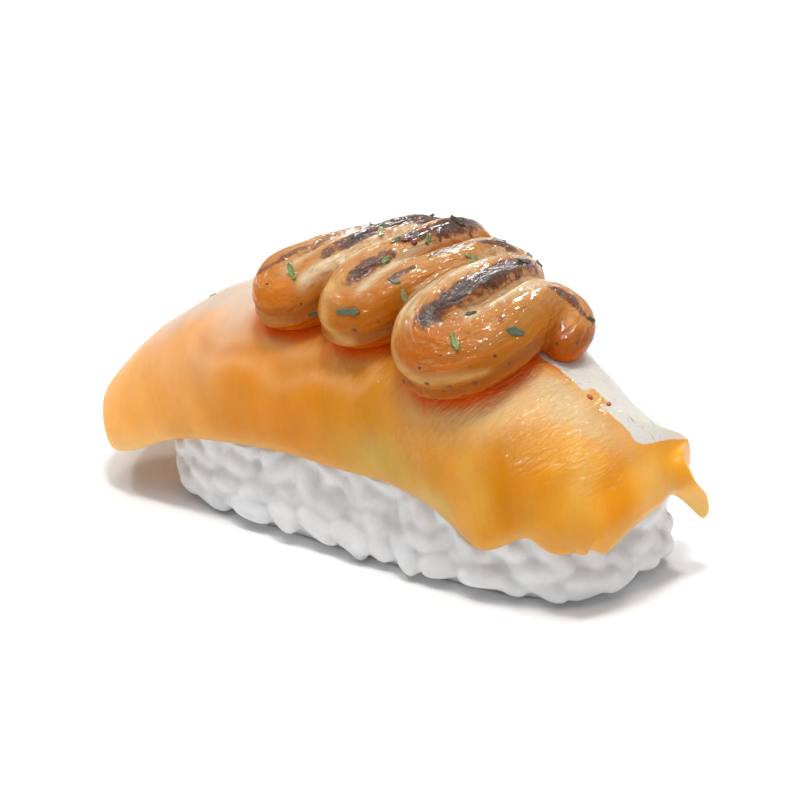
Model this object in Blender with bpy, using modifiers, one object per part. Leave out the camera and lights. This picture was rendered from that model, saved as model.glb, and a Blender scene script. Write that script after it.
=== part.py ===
"""Seared salmon nigiri: a pressed block of rice, a slice of salmon draped over it, and piped sauce on top.

Run it with: blender --background --python part.py

X runs along the block, Y across it and Z up. The origin is on the table, under the middle of the block.
The salmon is laid out in two lengths that are measured on its underside: "along" follows the ridge from the
crest, and "across" runs from the ridge down towards the hem, negative on the front side.
"""

import math
import random

import bmesh
import bpy
import numpy as np
from mathutils import Matrix, Vector
from mathutils.bvhtree import BVHTree

MM = 0.001

# Clearance that stays between pieces which touch.
GAP = 0.3 * MM

# The ridge line of the slice's underside: its height at the crest, and how far it has turned down (degrees)
# at lengths along it.
RIDGE_HEIGHT = 23.2 * MM
RIDGE_TURN = (
    (-54 * MM, -47), (-42 * MM, -47), (-33 * MM, -36), (-24 * MM, -16.5), (-12 * MM, -3.5), (0.0, 0),
    (10 * MM, 11), (18 * MM, 27.4), (24 * MM, 34.5), (28 * MM, 42), (31 * MM, 28), (33.5 * MM, 68),
    (36 * MM, 57), (42 * MM, 72),
)
RIDGE_X = 1.2 * MM
RIDGE_Y = 0.8 * MM
# The slice turns over the shoulder of the rice within this length, to this steepness (degrees) along the ridge.
SHOULDER_LENGTH = 19 * MM
SHOULDER_ROUNDING = 1.15
SIDE_TURN = (
    (-54 * MM, 50), (-40 * MM, 68), (-26 * MM, 84), (20 * MM, 88.5), (28 * MM, 83.5), (34 * MM, 77), (44 * MM, 66.5),
)
# How much of the ridge's turn the hanging sides share: 1 hangs square to the ridge, 0 hangs plumb.
LEAN = ((-10 * MM, 1.0), (10 * MM, 0.85), (24 * MM, 0.62), (36 * MM, 0.5))

# The slice: its thickness on top and at its hems, and how far the hems hang on each side along the ridge.
SLICE_THICKNESS = 4.0 * MM
HEM_THICKNESS = 1.0 * MM
HEM_TAPER = 9 * MM
FRONT_HEM = (
    (-50 * MM, 12 * MM), (-43 * MM, 17 * MM), (-35 * MM, 18.6 * MM), (-28 * MM, 19.5 * MM), (-20 * MM, 20.1 * MM),
    (-11 * MM, 20.3 * MM), (-4 * MM, 20.6 * MM), (2 * MM, 20.5 * MM), (7 * MM, 20.5 * MM), (11 * MM, 20.5 * MM),
    (14 * MM, 20.7 * MM), (17 * MM, 20.7 * MM), (19.5 * MM, 20.7 * MM), (22 * MM, 20.6 * MM), (24.5 * MM, 18.4 * MM),
    (27 * MM, 15.3 * MM), (30 * MM, 14.2 * MM), (33.5 * MM, 11.1 * MM), (38 * MM, 6.5 * MM),
)
BACK_HEM = (
    (-50 * MM, 11 * MM), (-40 * MM, 14.5 * MM), (-28 * MM, 17 * MM), (-14 * MM, 18 * MM), (0.0, 17 * MM),
    (7 * MM, 15.5 * MM), (12 * MM, 13.5 * MM), (16 * MM, 9.8 * MM), (20 * MM, 8.4 * MM), (24 * MM, 7.7 * MM),
    (27 * MM, 9.7 * MM), (29.5 * MM, 13.5 * MM), (32 * MM, 7.3 * MM), (35 * MM, 8.7 * MM), (38 * MM, 10 * MM),
)
# Where the slice ends, as a length along the ridge, at places from the front hem (-1) to the back hem (1).
LEFT_END = ((-1.0, -45.4 * MM), (-0.5, -49.8 * MM), (0.0, -51.3 * MM), (0.5, -50 * MM), (1.0, -46 * MM))
RIGHT_END = (
    (-1.0, 35.3 * MM), (-0.5, 34.8 * MM), (0.1, 34.2 * MM), (0.45, 33.9 * MM), (0.75, 37.3 * MM), (1.0, 35 * MM),
)
SLICE_ROWS = 42
SLICE_COLUMNS = 20

# The block of rice: how far it reaches along and across under the slice, then its foot.
RICE_LEFT = -33 * MM
RICE_RIGHT = 30 * MM
RICE_ACROSS = 16.5 * MM
RICE_CORNER_POWER = 4
FOOT_LENGTH = 59.5 * MM
FOOT_WIDTH = 27 * MM
FOOT_POWER = 3.2
FOOT_ROUNDING = 2.2 * MM
WAIST_INSET = 0.3 * MM
RICE_ROWS = 18
RICE_COLUMNS = 10

# Cooked short-grain rice, and how the grains lie on the block: how far apart, how far out, and how high up.
GRAIN_LENGTH = 6.0 * MM
GRAIN_WIDTH = 2.8 * MM
GRAIN_DEPTH = 2.5 * MM
GRAIN_SPREAD = 0.12
GRAIN_SPACING = 3.15 * MM
GRAIN_RISE = 0.2 * MM
GRAIN_TRIES = 4000
GRAIN_CLEARANCE = 0.4 * MM
GRAIN_SEED = 11

# The piped sauce: one rope that crosses the slice six times, in places along and across it.
# Each row is (along, across, height of the crest over the slice, half width), in millimetres.
ROPE = (
    (-10.9, 4.2, 5.2, 2.3), (-10.7, 1.5, 6.2, 2.8), (-11.2, -1.5, 6.5, 3.0), (-12.8, -4.0, 6.5, 3.1),
    (-14.4, -5.4, 6.3, 3.2), (-13.4, -6.3, 6.2, 3.1), (-10.9, -5.8, 6.5, 3.0), (-8.2, -4.0, 7.2, 2.9),
    (-6.6, -1.5, 7.5, 2.8), (-6.0, 2.0, 7.8, 2.8), (-5.4, 5.0, 7.4, 2.8), (-3.9, 6.4, 7.3, 2.8),
    (-2.4, 5.6, 8.0, 2.8), (-2.3, 1.5, 8.0, 2.8), (-2.5, -2.0, 7.6, 2.9), (-4.1, -5.0, 7.2, 3.0),
    (-4.4, -6.4, 6.8, 3.0), (-2.4, -6.6, 6.6, 3.0), (0.2, -5.6, 7.0, 3.0), (2.6, -3.6, 7.4, 2.8),
    (3.8, -0.8, 7.6, 2.8), (4.0, 1.8, 7.6, 2.8), (4.8, 3.4, 6.9, 2.6), (6.2, 3.6, 6.3, 2.5),
    (7.6, 2.2, 6.5, 2.6), (8.2, 0.2, 7.0, 2.7), (8.0, -2.6, 7.6, 3.0), (7.0, -5.6, 7.4, 3.2),
    (6.6, -7.4, 7.0, 3.4), (8.8, -8.7, 6.5, 3.4), (11.4, -8.2, 6.5, 3.4), (12.6, -5.8, 6.9, 3.1),
    (12.7, -2.8, 6.8, 2.6), (12.4, -0.4, 6.2, 2.4), (12.9, 1.4, 5.7, 2.2), (14.2, 1.8, 5.3, 2.1),
    (15.3, 1.2, 4.7, 2.0), (15.7, 0.0, 3.6, 2.0),
)
ROPE_SIDES = 16
ROPE_MIDDLE = 0.4
ROPE_STEP = 0.7 * MM
ROPE_BLEND = 0.55 * MM
ROPE_FACES = 2700

# Herb flakes in the sauce: (along, across, turn in degrees, length and width in millimetres).
FLAKES = (
    (-11.6, -6.2, 60, 2.6, 0.9), (-6.9, -0.4, 10, 1.6, 0.9), (-3.4, -0.6, 40, 1.6, 0.9), (-1.2, -3.6, 120, 1.5, 0.8),
    (0.6, -6.4, 80, 1.8, 0.8), (-2.2, -7.2, 100, 2.2, 0.8), (-2.6, 3.9, 20, 1.8, 1.0), (2.4, -2.2, 130, 1.4, 0.8),
    (4.4, -1.0, 60, 1.6, 0.7), (8.6, 1.2, 30, 1.6, 0.9), (10.6, -8.0, 30, 1.8, 1.0), (9.8, -6.6, 140, 1.8, 0.9),
    (13.4, -5.6, 70, 1.9, 0.9), (11.2, -3.6, 20, 1.5, 0.8), (16.8, 2.0, 50, 1.4, 0.8), (-10.9, 2.2, 110, 1.6, 0.8),
)
FLAKE_THICKNESS = 0.5 * MM


def curve_value(points, where):
    """Height of the smooth curve through the (place, value) points, level beyond its ends."""
    if where <= points[0][0]:
        return points[0][1]
    if where >= points[-1][0]:
        return points[-1][1]
    index = next(i for i in range(1, len(points)) if where <= points[i][0])

    def slope(i):
        before, after = points[max(i - 1, 0)], points[min(i + 1, len(points) - 1)]
        return (after[1] - before[1]) / (after[0] - before[0])

    (x0, y0), (x1, y1) = points[index - 1], points[index]
    span = x1 - x0
    t = (where - x0) / span
    return (
        (2 * t**3 - 3 * t**2 + 1) * y0
        + (t**3 - 2 * t**2 + t) * span * slope(index - 1)
        + (3 * t**2 - 2 * t**3) * y1
        + (t**3 - t**2) * span * slope(index)
    )


def ridge_table():
    """Lengths along the ridge, and the x, z and turn (radians) at each."""
    step = 0.25 * MM
    count = round((RIDGE_TURN[-1][0] - RIDGE_TURN[0][0]) / step)
    along = RIDGE_TURN[0][0] + step * np.arange(count + 1)
    turn = np.radians([curve_value(RIDGE_TURN, s) for s in along])
    middle = (turn[1:] + turn[:-1]) / 2
    x = np.concatenate([[0], np.cumsum(step * np.cos(middle))])
    z = np.concatenate([[0], np.cumsum(-step * np.sin(middle))])
    x += RIDGE_X - np.interp(0, along, x)
    z += RIDGE_HEIGHT - np.interp(0, along, z)
    return along, x, z, turn


RIDGE = ridge_table()


def underside(along, across):
    """The point of the slice's underside at these lengths along and across."""
    lengths, xs, zs, turns = RIDGE
    x, z, turn = (float(np.interp(along, lengths, values)) for values in (xs, zs, turns))
    lean = turn * curve_value(LEAN, along)
    steepest = math.radians(curve_value(SIDE_TURN, along))
    step = abs(across) / 24
    angles = steepest * np.minimum(1, (np.arange(24) + 0.5) * step / SHOULDER_LENGTH) ** SHOULDER_ROUNDING
    out, drop = step * float(np.cos(angles).sum()), step * float(np.sin(angles).sum())
    return Vector((x - math.sin(lean) * drop, RIDGE_Y + math.copysign(out, across), z - math.cos(lean) * drop))


def drape(along, across, lift=0.0):
    """The point at these lengths along and across the slice's underside, raised by lift along its normal."""
    point = underside(along, across)
    if not lift:
        return point
    step = 0.05 * MM
    ahead = underside(along + step, across) - underside(along - step, across)
    aside = underside(along, across + step) - underside(along, across - step)
    return point + ahead.cross(aside).normalized() * lift


def new_object(name, mesh, collection):
    """An object of this mesh in the collection."""
    obj = bpy.data.objects.new(name, mesh)
    collection.objects.link(obj)
    return obj


def finish_material(name, colour, roughness):
    """A Principled BSDF of one colour."""
    material = bpy.data.materials.new(name)
    material.use_nodes = True
    shader = material.node_tree.nodes["Principled BSDF"]
    shader.inputs["Base Color"].default_value = (*colour, 1)
    shader.inputs["Roughness"].default_value = roughness
    shader.inputs["Metallic"].default_value = 0
    return material


def slice_place(a, b):
    """Lengths along and across for a place on the slice, a from left to right and b from front to back, -1 to 1."""
    left, right = curve_value(LEFT_END, b), curve_value(RIGHT_END, b)
    along = left + (right - left) * (a + 1) / 2
    front, back = -curve_value(FRONT_HEM, along), curve_value(BACK_HEM, along)
    across = front + (back - front) * (b + 1) / 2
    return along, across


def slice_thickness(a, b):
    """Thickness of the slice there: full on top, thin at the hems and the ends."""
    along, across = slice_place(a, b)
    front, back = -curve_value(FRONT_HEM, along), curve_value(BACK_HEM, along)
    left, right = curve_value(LEFT_END, b), curve_value(RIGHT_END, b)
    inward = min(across - front, back - across, 1.5 * (along - left), (right - along))
    rise = math.sin(math.pi / 2 * min(1, max(0, inward) / HEM_TAPER))
    return HEM_THICKNESS + (SLICE_THICKNESS - HEM_THICKNESS) * rise


def make_salmon(collection):
    """The slice: an open grid laid on the drape, thickened outwards."""
    bm = bmesh.new()
    bmesh.ops.create_grid(bm, x_segments=SLICE_ROWS, y_segments=SLICE_COLUMNS, size=1)
    bm.verts.ensure_lookup_table()
    thickness = []
    for vert in bm.verts:
        a, b = vert.co.x, vert.co.y
        thickness.append(slice_thickness(a, b))
        vert.co = drape(*slice_place(a, b), GAP)
    mesh = bpy.data.meshes.new("salmon")
    bm.to_mesh(mesh)
    bm.free()
    salmon = new_object("salmon", mesh, collection)
    group = salmon.vertex_groups.new(name="thickness")
    for index, value in enumerate(thickness):
        group.add([index], value / SLICE_THICKNESS, "REPLACE")
    solidify = salmon.modifiers.new("thickness", "SOLIDIFY")
    solidify.thickness = SLICE_THICKNESS
    solidify.offset = 1
    solidify.vertex_group = group.name
    mesh.shade_smooth()
    mesh.materials.append(finish_material("salmon", (0.80, 0.33, 0.07), 0.3))
    return salmon


def rounded(a, b, power):
    """A place in the square pulled in to the same place in a square with rounded corners."""
    reach, round_reach = max(abs(a), abs(b)), (abs(a) ** power + abs(b) ** power) ** (1 / power)
    return (a * reach / round_reach, b * reach / round_reach) if round_reach else (0.0, 0.0)


def foot_point(a, b, inset):
    """The point on the outline of the foot in the direction of this rim place, moved in by inset."""
    a, b = rounded(a, b, FOOT_POWER)
    return Vector((a * (FOOT_LENGTH / 2 - inset), b * (FOOT_WIDTH / 2 - inset), 0))


def side_point(top, a, b, level):
    """A point on the side of the block: level 0 at the rim, 1 where the flat foot begins."""
    if level >= 1:
        return foot_point(a, b, FOOT_ROUNDING)
    low = foot_point(a, b, 0)
    point = top.lerp(low, level**2)
    point.z = top.z + (FOOT_ROUNDING * 0.6 - top.z) * level
    outward = Vector((low.x, low.y, 0)).normalized()
    return point - outward * WAIST_INSET * math.sin(math.pi * level)


def put_in_order(bm):
    """Numbers the corners, edges and faces by how far they lie along one slanted line, the same in each run."""
    def reach(verts):
        return sum(vert.co.dot((0.618, 0.414, 1)) for vert in verts) / len(verts)

    bm.verts.sort(key=lambda vert: reach([vert]))
    bm.edges.sort(key=lambda edge: reach(edge.verts))
    bm.faces.sort(key=lambda face: reach(face.verts))


def make_rice_core(collection):
    """The block under the slice: a rounded grid on the drape, with sides down to a flat foot."""
    bm = bmesh.new()
    bmesh.ops.create_grid(bm, x_segments=RICE_ROWS, y_segments=RICE_COLUMNS, size=1)
    rim = [edge for edge in bm.edges if edge.is_boundary]
    place = {vert: (vert.co.x, vert.co.y) for vert in bm.verts}
    for vert, (a, b) in place.items():
        a, b = rounded(a, b, RICE_CORNER_POWER)
        along = RICE_LEFT + (RICE_RIGHT - RICE_LEFT) * (a + 1) / 2
        vert.co = drape(along, b * RICE_ACROSS)
    tops = {place[vert]: vert.co.copy() for edge in rim for vert in edge.verts}
    where = {vert: place[vert] for edge in rim for vert in edge.verts}
    for level in (0.25, 0.5, 0.75, 0.94, 1):
        before = {tuple(vert.co): spot for vert, spot in where.items()}
        pulled = bmesh.ops.extrude_edge_only(bm, edges=rim)["geom"]
        rim = [item for item in pulled if isinstance(item, bmesh.types.BMEdge)]
        where = {vert: before[tuple(vert.co)] for edge in rim for vert in edge.verts}
        for vert, spot in where.items():
            vert.co = side_point(tops[spot], *spot, level)
    bmesh.ops.contextual_create(bm, geom=rim)
    bmesh.ops.recalc_face_normals(bm, faces=bm.faces)
    put_in_order(bm)
    mesh = bpy.data.meshes.new("rice")
    bm.to_mesh(mesh)
    bm.free()
    return new_object("rice", mesh, collection)


def ellipsoid(bm, centre, turn, size, rings, sides):
    """Adds an ellipsoid of this size along its own x, y and z."""
    place = Matrix.Translation(centre) @ turn.to_4x4() @ Matrix.Diagonal((*size, 1))
    return bmesh.ops.create_uvsphere(bm, u_segments=sides, v_segments=rings, radius=0.5, matrix=place)["verts"]


def side_samples(rice, chance):
    """Points and outward directions spread over the sides of the block, more on the larger faces."""
    faces = [face for face in rice.data.polygons if abs(face.normal.z) < 0.93 and face.center.z < 18 * MM]
    areas = [face.area for face in faces]
    for face in chance.choices(faces, areas, k=GRAIN_TRIES):
        corners = [rice.data.vertices[index].co for index in face.vertices]
        weights = [chance.random() for _ in corners]
        total = sum(weights)
        yield sum((corner * weight / total for corner, weight in zip(corners, weights)), Vector()), face.normal


def grain_turn(point, outward, chance):
    """Lays a grain flat against the block at a random slant, and nearly level where it rests on the table."""
    slant = Matrix.Rotation(chance.gauss(0, 0.9 if point.z > GRAIN_LENGTH / 2 else 0.2), 3, outward)
    level = Vector((0, 0, 1)).cross(outward).normalized()
    long_side = (slant @ level + outward * chance.gauss(0, 0.16)).normalized()
    depth_side = (outward - long_side * outward.dot(long_side)).normalized()
    return Matrix((long_side, depth_side.cross(long_side), depth_side)).transposed()


def grain_mesh(point, outward, chance):
    """A grain on the block at this point, standing on the table where it would reach below it."""
    bm = bmesh.new()
    scale = 1 + chance.gauss(0, GRAIN_SPREAD)
    size = (GRAIN_LENGTH * scale, GRAIN_WIDTH * (1 + chance.gauss(0, 0.06)), GRAIN_DEPTH)
    centre = point + outward * (GRAIN_RISE + chance.uniform(-0.5, 0.4) * MM)
    verts = ellipsoid(bm, centre, grain_turn(point, outward, chance), size, 4, 6)
    low = min(vert.co.z for vert in verts)
    bmesh.ops.translate(bm, verts=verts, vec=(0, 0, max(0, 0.05 * MM - low)))
    return bm


def too_near(bm, tree, clearance):
    """Whether any corner of the mesh is inside or nearer to the tree than the clearance."""
    for vert in bm.verts:
        spot, normal, _, distance = tree.find_nearest(vert.co)
        if distance < clearance or (distance < 4 * MM and (vert.co - spot).dot(normal) < 0):
            return True
    return False


def world_tree(obj):
    """A search tree of the object with its modifiers applied."""
    return BVHTree.FromObject(obj, bpy.context.evaluated_depsgraph_get())


def make_grains(rice, salmon, cutters):
    """Rice grains over the sides of the block, each its own object, clear of the slice and not too close."""
    chance = random.Random(GRAIN_SEED)
    tree = world_tree(salmon)
    taken = []
    for point, outward in side_samples(rice, chance):
        if any((point - other).length < GRAIN_SPACING for other in taken):
            continue
        bm = grain_mesh(point, outward, chance)
        if too_near(bm, tree, GRAIN_CLEARANCE):
            bm.free()
            continue
        taken.append(point)
        mesh = bpy.data.meshes.new("grain")
        bm.to_mesh(mesh)
        bm.free()
        helper(new_object("grain", mesh, cutters))


def helper(obj):
    """Marks an object that only serves to shape another."""
    obj.hide_render = True
    obj.display_type = "WIRE"
    return obj


def apply_modifiers(obj):
    """Makes the evaluated shape the object's own."""
    mesh = bpy.data.meshes.new_from_object(obj.evaluated_get(bpy.context.evaluated_depsgraph_get()))
    obj.modifiers.clear()
    obj.vertex_groups.clear()
    obj.data = mesh


def fuse(obj, others):
    """Unites the collection's objects with the object, then removes them."""
    union = obj.modifiers.new("fuse", "BOOLEAN")
    union.operation = "UNION"
    union.operand_type = "COLLECTION"
    union.collection = others
    union.solver = "EXACT"
    apply_modifiers(obj)
    for other in list(others.objects):
        bpy.data.objects.remove(other)


def keep_largest_shell(obj):
    """Keeps the outer surface only: inner shells and loose scraps are dropped."""
    bm = bmesh.new()
    bm.from_mesh(obj.data)
    left, shells = set(bm.verts), []
    while left:
        shell, front = set(), [left.pop()]
        while front:
            vert = front.pop()
            shell.add(vert)
            for edge in vert.link_edges:
                other = edge.other_vert(vert)
                if other in left:
                    left.discard(other)
                    front.append(other)
        shells.append(shell)
    largest = max(shells, key=lambda shell: max(v.co.x for v in shell) - min(v.co.x for v in shell))
    bmesh.ops.delete(bm, geom=[v for shell in shells if shell is not largest for v in shell], context="VERTS")
    put_in_order(bm)
    bm.to_mesh(obj.data)
    bm.free()


def rope_points():
    """The middle line of the rope in slice lengths, as (along, across, crest height, half width)."""
    rows = [tuple(value * MM for value in row) for row in ROPE]
    distances = [0.0]
    for before, after in zip(rows, rows[1:]):
        distances.append(distances[-1] + math.hypot(after[0] - before[0], after[1] - before[1]))
    curves = [list(zip(distances, column)) for column in zip(*rows)]
    count = math.ceil(distances[-1] / ROPE_STEP)
    return [tuple(curve_value(curve, distances[-1] * i / count) for curve in curves) for i in range(count + 1)]


def make_sauce_body(collection):
    """The rope laid flat as overlapping beads, merged and smoothed, then wrapped over the slice."""
    bm = bmesh.new()
    for along, across, height, half_width in rope_points():
        centre = Vector((along, across, height * ROPE_MIDDLE))
        size = (half_width * 2, half_width * 2, height * (1 - ROPE_MIDDLE) * 2)
        ellipsoid(bm, centre, Matrix.Identity(3), size, 10, ROPE_SIDES)
    mesh = bpy.data.meshes.new("sauce")
    bm.to_mesh(mesh)
    bm.free()
    sauce = new_object("sauce", mesh, collection)
    merge = sauce.modifiers.new("merge", "REMESH")
    merge.mode = "VOXEL"
    merge.voxel_size = ROPE_BLEND
    smooth = sauce.modifiers.new("smooth", "SMOOTH")
    smooth.iterations = 4
    apply_modifiers(sauce)
    for vert in sauce.data.vertices:
        along, across, height = vert.co
        vert.co = on_slice(along, across, max(height, GAP))
    reduce = sauce.modifiers.new("reduce", "DECIMATE")
    reduce.ratio = ROPE_FACES / (2 * len(sauce.data.polygons))
    apply_modifiers(sauce)
    return sauce


def make_flakes(sauce, cutters):
    """Herb flakes pressed flat into the top of the sauce."""
    tree = world_tree(sauce)
    for row in FLAKES:
        along, across, length, width = (row[i] * MM for i in (0, 1, 3, 4))
        start, foot = on_slice(along, across, 14 * MM), on_slice(along, across, 0)
        spot, normal, _, _ = tree.ray_cast(start, (foot - start).normalized())
        if spot is None:
            continue
        turn = normal.to_track_quat("Z", "X").to_matrix() @ Matrix.Rotation(math.radians(row[2]), 3, "Z")
        size = Matrix.Diagonal((length, width, FLAKE_THICKNESS, 1))
        bm = bmesh.new()
        bmesh.ops.create_cube(bm, size=1, matrix=Matrix.Translation(spot) @ turn.to_4x4() @ size)
        mesh = bpy.data.meshes.new("flake")
        bm.to_mesh(mesh)
        bm.free()
        helper(new_object("flake", mesh, cutters))


def thickness_at(along, across):
    """Thickness of the slice at these lengths along and across."""
    front, back = -curve_value(FRONT_HEM, along), curve_value(BACK_HEM, along)
    b = 2 * (across - front) / (back - front) - 1
    left, right = curve_value(LEFT_END, b), curve_value(RIGHT_END, b)
    a = 2 * (along - left) / (right - left) - 1
    return slice_thickness(a, b)


def on_slice(along, across, height):
    """The point at this height over the top of the slice."""
    return drape(along, across, GAP + thickness_at(along, across) + height)


def make_rice(salmon, collection, cutters):
    """The block with its grains fused on."""
    rice = make_rice_core(collection)
    make_grains(rice, salmon, cutters)
    fuse(rice, cutters)
    keep_largest_shell(rice)
    return rice


def make_sauce(collection, cutters):
    """The rope with its herb flakes fused on."""
    sauce = make_sauce_body(collection)
    make_flakes(sauce, cutters)
    fuse(sauce, cutters)
    keep_largest_shell(sauce)
    return sauce


def main():
    """Builds the nigiri in its own collection."""
    for obj in list(bpy.data.objects):
        bpy.data.objects.remove(obj)
    nigiri = bpy.data.collections.new("salmon_nigiri")
    cutters = bpy.data.collections.new("cutters")
    bpy.context.scene.collection.children.link(nigiri)
    bpy.context.scene.collection.children.link(cutters)
    salmon = make_salmon(nigiri)
    rice = make_rice(salmon, nigiri, cutters)
    sauce = make_sauce(nigiri, cutters)
    for obj, colour, roughness in ((rice, (0.62, 0.62, 0.60), 0.5), (sauce, (0.45, 0.20, 0.05), 0.3)):
        obj.data.materials.clear()
        obj.data.materials.append(finish_material(obj.name, colour, roughness))


main()
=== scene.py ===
"""Seared salmon nigiri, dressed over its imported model: rice grains, draped slice, piped sauce and herbs.

Lengths on the slice are in millimetres: "along" follows its ridge from the crest towards the right end, and
"across" runs from the ridge down to the hems, negative on the front side. Heights stand on the slice's top.
"""

import logging  # noqa: E402
import math  # noqa: E402
import random  # noqa: E402
from dataclasses import dataclass, field  # noqa: E402
from enum import Enum  # noqa: E402

import bmesh  # noqa: E402
import bpy  # noqa: E402
import numpy as np  # noqa: E402
from mathutils import Matrix, Vector, noise  # noqa: E402
from mathutils.bvhtree import BVHTree  # noqa: E402
from mathutils.kdtree import KDTree  # noqa: E402


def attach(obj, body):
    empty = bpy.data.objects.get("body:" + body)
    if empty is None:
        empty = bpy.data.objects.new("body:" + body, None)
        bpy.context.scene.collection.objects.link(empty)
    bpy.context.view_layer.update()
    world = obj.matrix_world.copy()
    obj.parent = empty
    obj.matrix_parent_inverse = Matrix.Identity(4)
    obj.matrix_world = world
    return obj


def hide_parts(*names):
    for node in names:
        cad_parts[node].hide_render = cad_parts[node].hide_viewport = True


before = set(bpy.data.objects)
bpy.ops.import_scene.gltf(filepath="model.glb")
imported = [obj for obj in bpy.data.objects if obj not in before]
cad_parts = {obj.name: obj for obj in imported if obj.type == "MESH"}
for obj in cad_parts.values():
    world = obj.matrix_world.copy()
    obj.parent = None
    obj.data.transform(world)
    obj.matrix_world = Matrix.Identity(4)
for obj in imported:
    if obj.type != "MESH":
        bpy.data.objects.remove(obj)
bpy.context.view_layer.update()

MM = 0.001
BODY = "root"
Array = np.ndarray

logging.basicConfig(level=logging.INFO, format="%(message)s")
log = logging.getLogger("nigiri")


def linear(colour: str) -> tuple[float, float, float, float]:
    """Turns an sRGB hex colour to linear light.

    Args:
        colour: The colour as "#rrggbb".

    Returns:
        Red, green, blue and an alpha of 1.
    """
    parts = [int(colour[i : i + 2], 16) / 255 for i in (1, 3, 5)]
    light = [c / 12.92 if c <= 0.04045 else ((c + 0.055) / 1.055) ** 2.4 for c in parts]
    return (light[0], light[1], light[2], 1.0)


def smooth(values: Array, low: float, high: float) -> Array:
    """Rises smoothly from 0 at low to 1 at high.

    Args:
        values: The values to grade.
        low: Where the rise starts. It may be above high, and then the values fall.
        high: Where it ends.

    Returns:
        The grades, from 0 to 1.
    """
    share = np.clip((values - low) / (high - low), 0, 1)
    return share * share * (3 - 2 * share)


def rough_field(points: Array, size: float, seed: float) -> Array:
    """A soft random field over points.

    Args:
        points: Places, three columns in millimetres.
        size: Size of its swells, in millimetres.
        seed: Shifts the field, so that two fields differ.

    Returns:
        One value for each point, about -1 to 1.
    """
    shift = Vector((seed * 7.3, seed * 3.1, seed * 11.7))
    return np.array([noise.noise(Vector(p) / size + shift) for p in points.tolist()])


def path_distance(points: Array, path: Array) -> Array:
    """Distance from each point to a line of straight pieces.

    Args:
        points: Places, two or three columns.
        path: The line's corners, with as many columns.

    Returns:
        One distance for each point.
    """
    nearest = np.full(len(points), 1e9)
    for start, end in zip(path, path[1:]):
        run = end - start
        share = np.clip(((points - start) @ run) / max(run @ run, 1e-9), 0, 1)
        nearest = np.minimum(nearest, np.linalg.norm(points - start - share[:, None] * run, axis=1))
    return nearest


def places(mesh: bpy.types.Mesh, what: str = "co") -> Array:
    """Reads a vector of every vertex.

    Args:
        mesh: The mesh to read.
        what: "co" for the places or "normal" for the normals.

    Returns:
        One row of three for each vertex.
    """
    values = np.zeros(len(mesh.vertices) * 3, np.float32)
    mesh.vertices.foreach_get(what, values)
    return values.reshape(-1, 3).astype(float)


def store(mesh: bpy.types.Mesh, name: str, values: Array) -> None:
    """Keeps values on the vertices as an attribute that a material reads.

    Args:
        mesh: The mesh that gets them.
        name: The attribute's name.
        values: One number, or three, or four colour values for each vertex.
    """
    columns = 1 if values.ndim == 1 else values.shape[1]
    kind, key = {1: ("FLOAT", "value"), 3: ("FLOAT_VECTOR", "vector"), 4: ("FLOAT_COLOR", "color")}[columns]
    attribute = mesh.attributes.new(name, kind, "POINT")
    attribute.data.foreach_set(key, values.astype(np.float32).ravel())


def link_object(name: str, mesh: bpy.types.Mesh) -> bpy.types.Object:
    """Puts a mesh in the scene as an object at the origin."""
    obj = bpy.data.objects.new(name, mesh)
    bpy.context.scene.collection.objects.link(obj)
    return obj


def settle_modifiers(obj: bpy.types.Object) -> None:
    """Makes the shape that the modifiers give the object's own."""
    mesh = bpy.data.meshes.new_from_object(obj.evaluated_get(bpy.context.evaluated_depsgraph_get()))
    obj.modifiers.clear()
    obj.data = mesh


def stamp(bm: bmesh.types.BMesh, shape: bpy.types.Mesh, matrix: Matrix) -> None:
    """Adds a copy of a small mesh to a larger one, raised to stand on the table where it would reach under it.

    Args:
        bm: The mesh that gets the copy.
        shape: The small mesh.
        matrix: The copy's place, turn and size.
    """
    copy = shape.copy()
    copy.transform(matrix)
    low = min(vert.co.z for vert in copy.vertices)
    copy.transform(Matrix.Translation((0, 0, max(0.0, -low))))
    bm.from_mesh(copy)
    bpy.data.meshes.remove(copy)


def merge_skins(obj: bpy.types.Object, voxel: float, rounds: int) -> None:
    """Unites overlapping closed shapes under one skin and smooths it.

    Args:
        obj: The object that holds the shapes.
        voxel: Size of the skin's cells, in millimetres.
        rounds: How often it is smoothed.
    """
    merge = obj.modifiers.new("merge", "REMESH")
    merge.mode = "VOXEL"
    merge.voxel_size = voxel * MM
    relax = obj.modifiers.new("relax", "SMOOTH")
    relax.iterations = rounds
    settle_modifiers(obj)


def add_node(
    tree: bpy.types.NodeTree, kind: str, inputs: dict | None = None, **settings: object
) -> bpy.types.Node:
    """Adds a node with its settings and links.

    Args:
        tree: The material's node tree.
        kind: The node's type, without the leading "ShaderNode".
        inputs: What each input gets, by name or number: a socket to link, or a value.
        **settings: Properties of the node itself.

    Returns:
        The new node.
    """
    node = tree.nodes.new("ShaderNode" + kind)
    for name, value in settings.items():
        setattr(node, name, value)
    for key, value in (inputs or {}).items():
        if isinstance(value, bpy.types.NodeSocket):
            tree.links.new(value, node.inputs[key])
        else:
            node.inputs[key].default_value = value
    return node


def stretched(
    tree: bpy.types.NodeTree, where: bpy.types.NodeSocket, size: tuple, turn: float = 0.0
) -> bpy.types.NodeSocket:
    """Places for a pattern whose marks are drawn out, with their size in mm along each axis.

    Args:
        tree: The material's node tree.
        where: The places in mm.
        size: How large a mark is along, across and up.
        turn: How far the pattern is turned about the third axis.

    Returns:
        The places that a pattern of scale 1 reads.
    """
    way = add_node(
        tree, "Mapping", {"Vector": where, "Rotation": (0, 0, turn), "Scale": size}, vector_type="TEXTURE"
    )
    return way.outputs[0]


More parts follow.
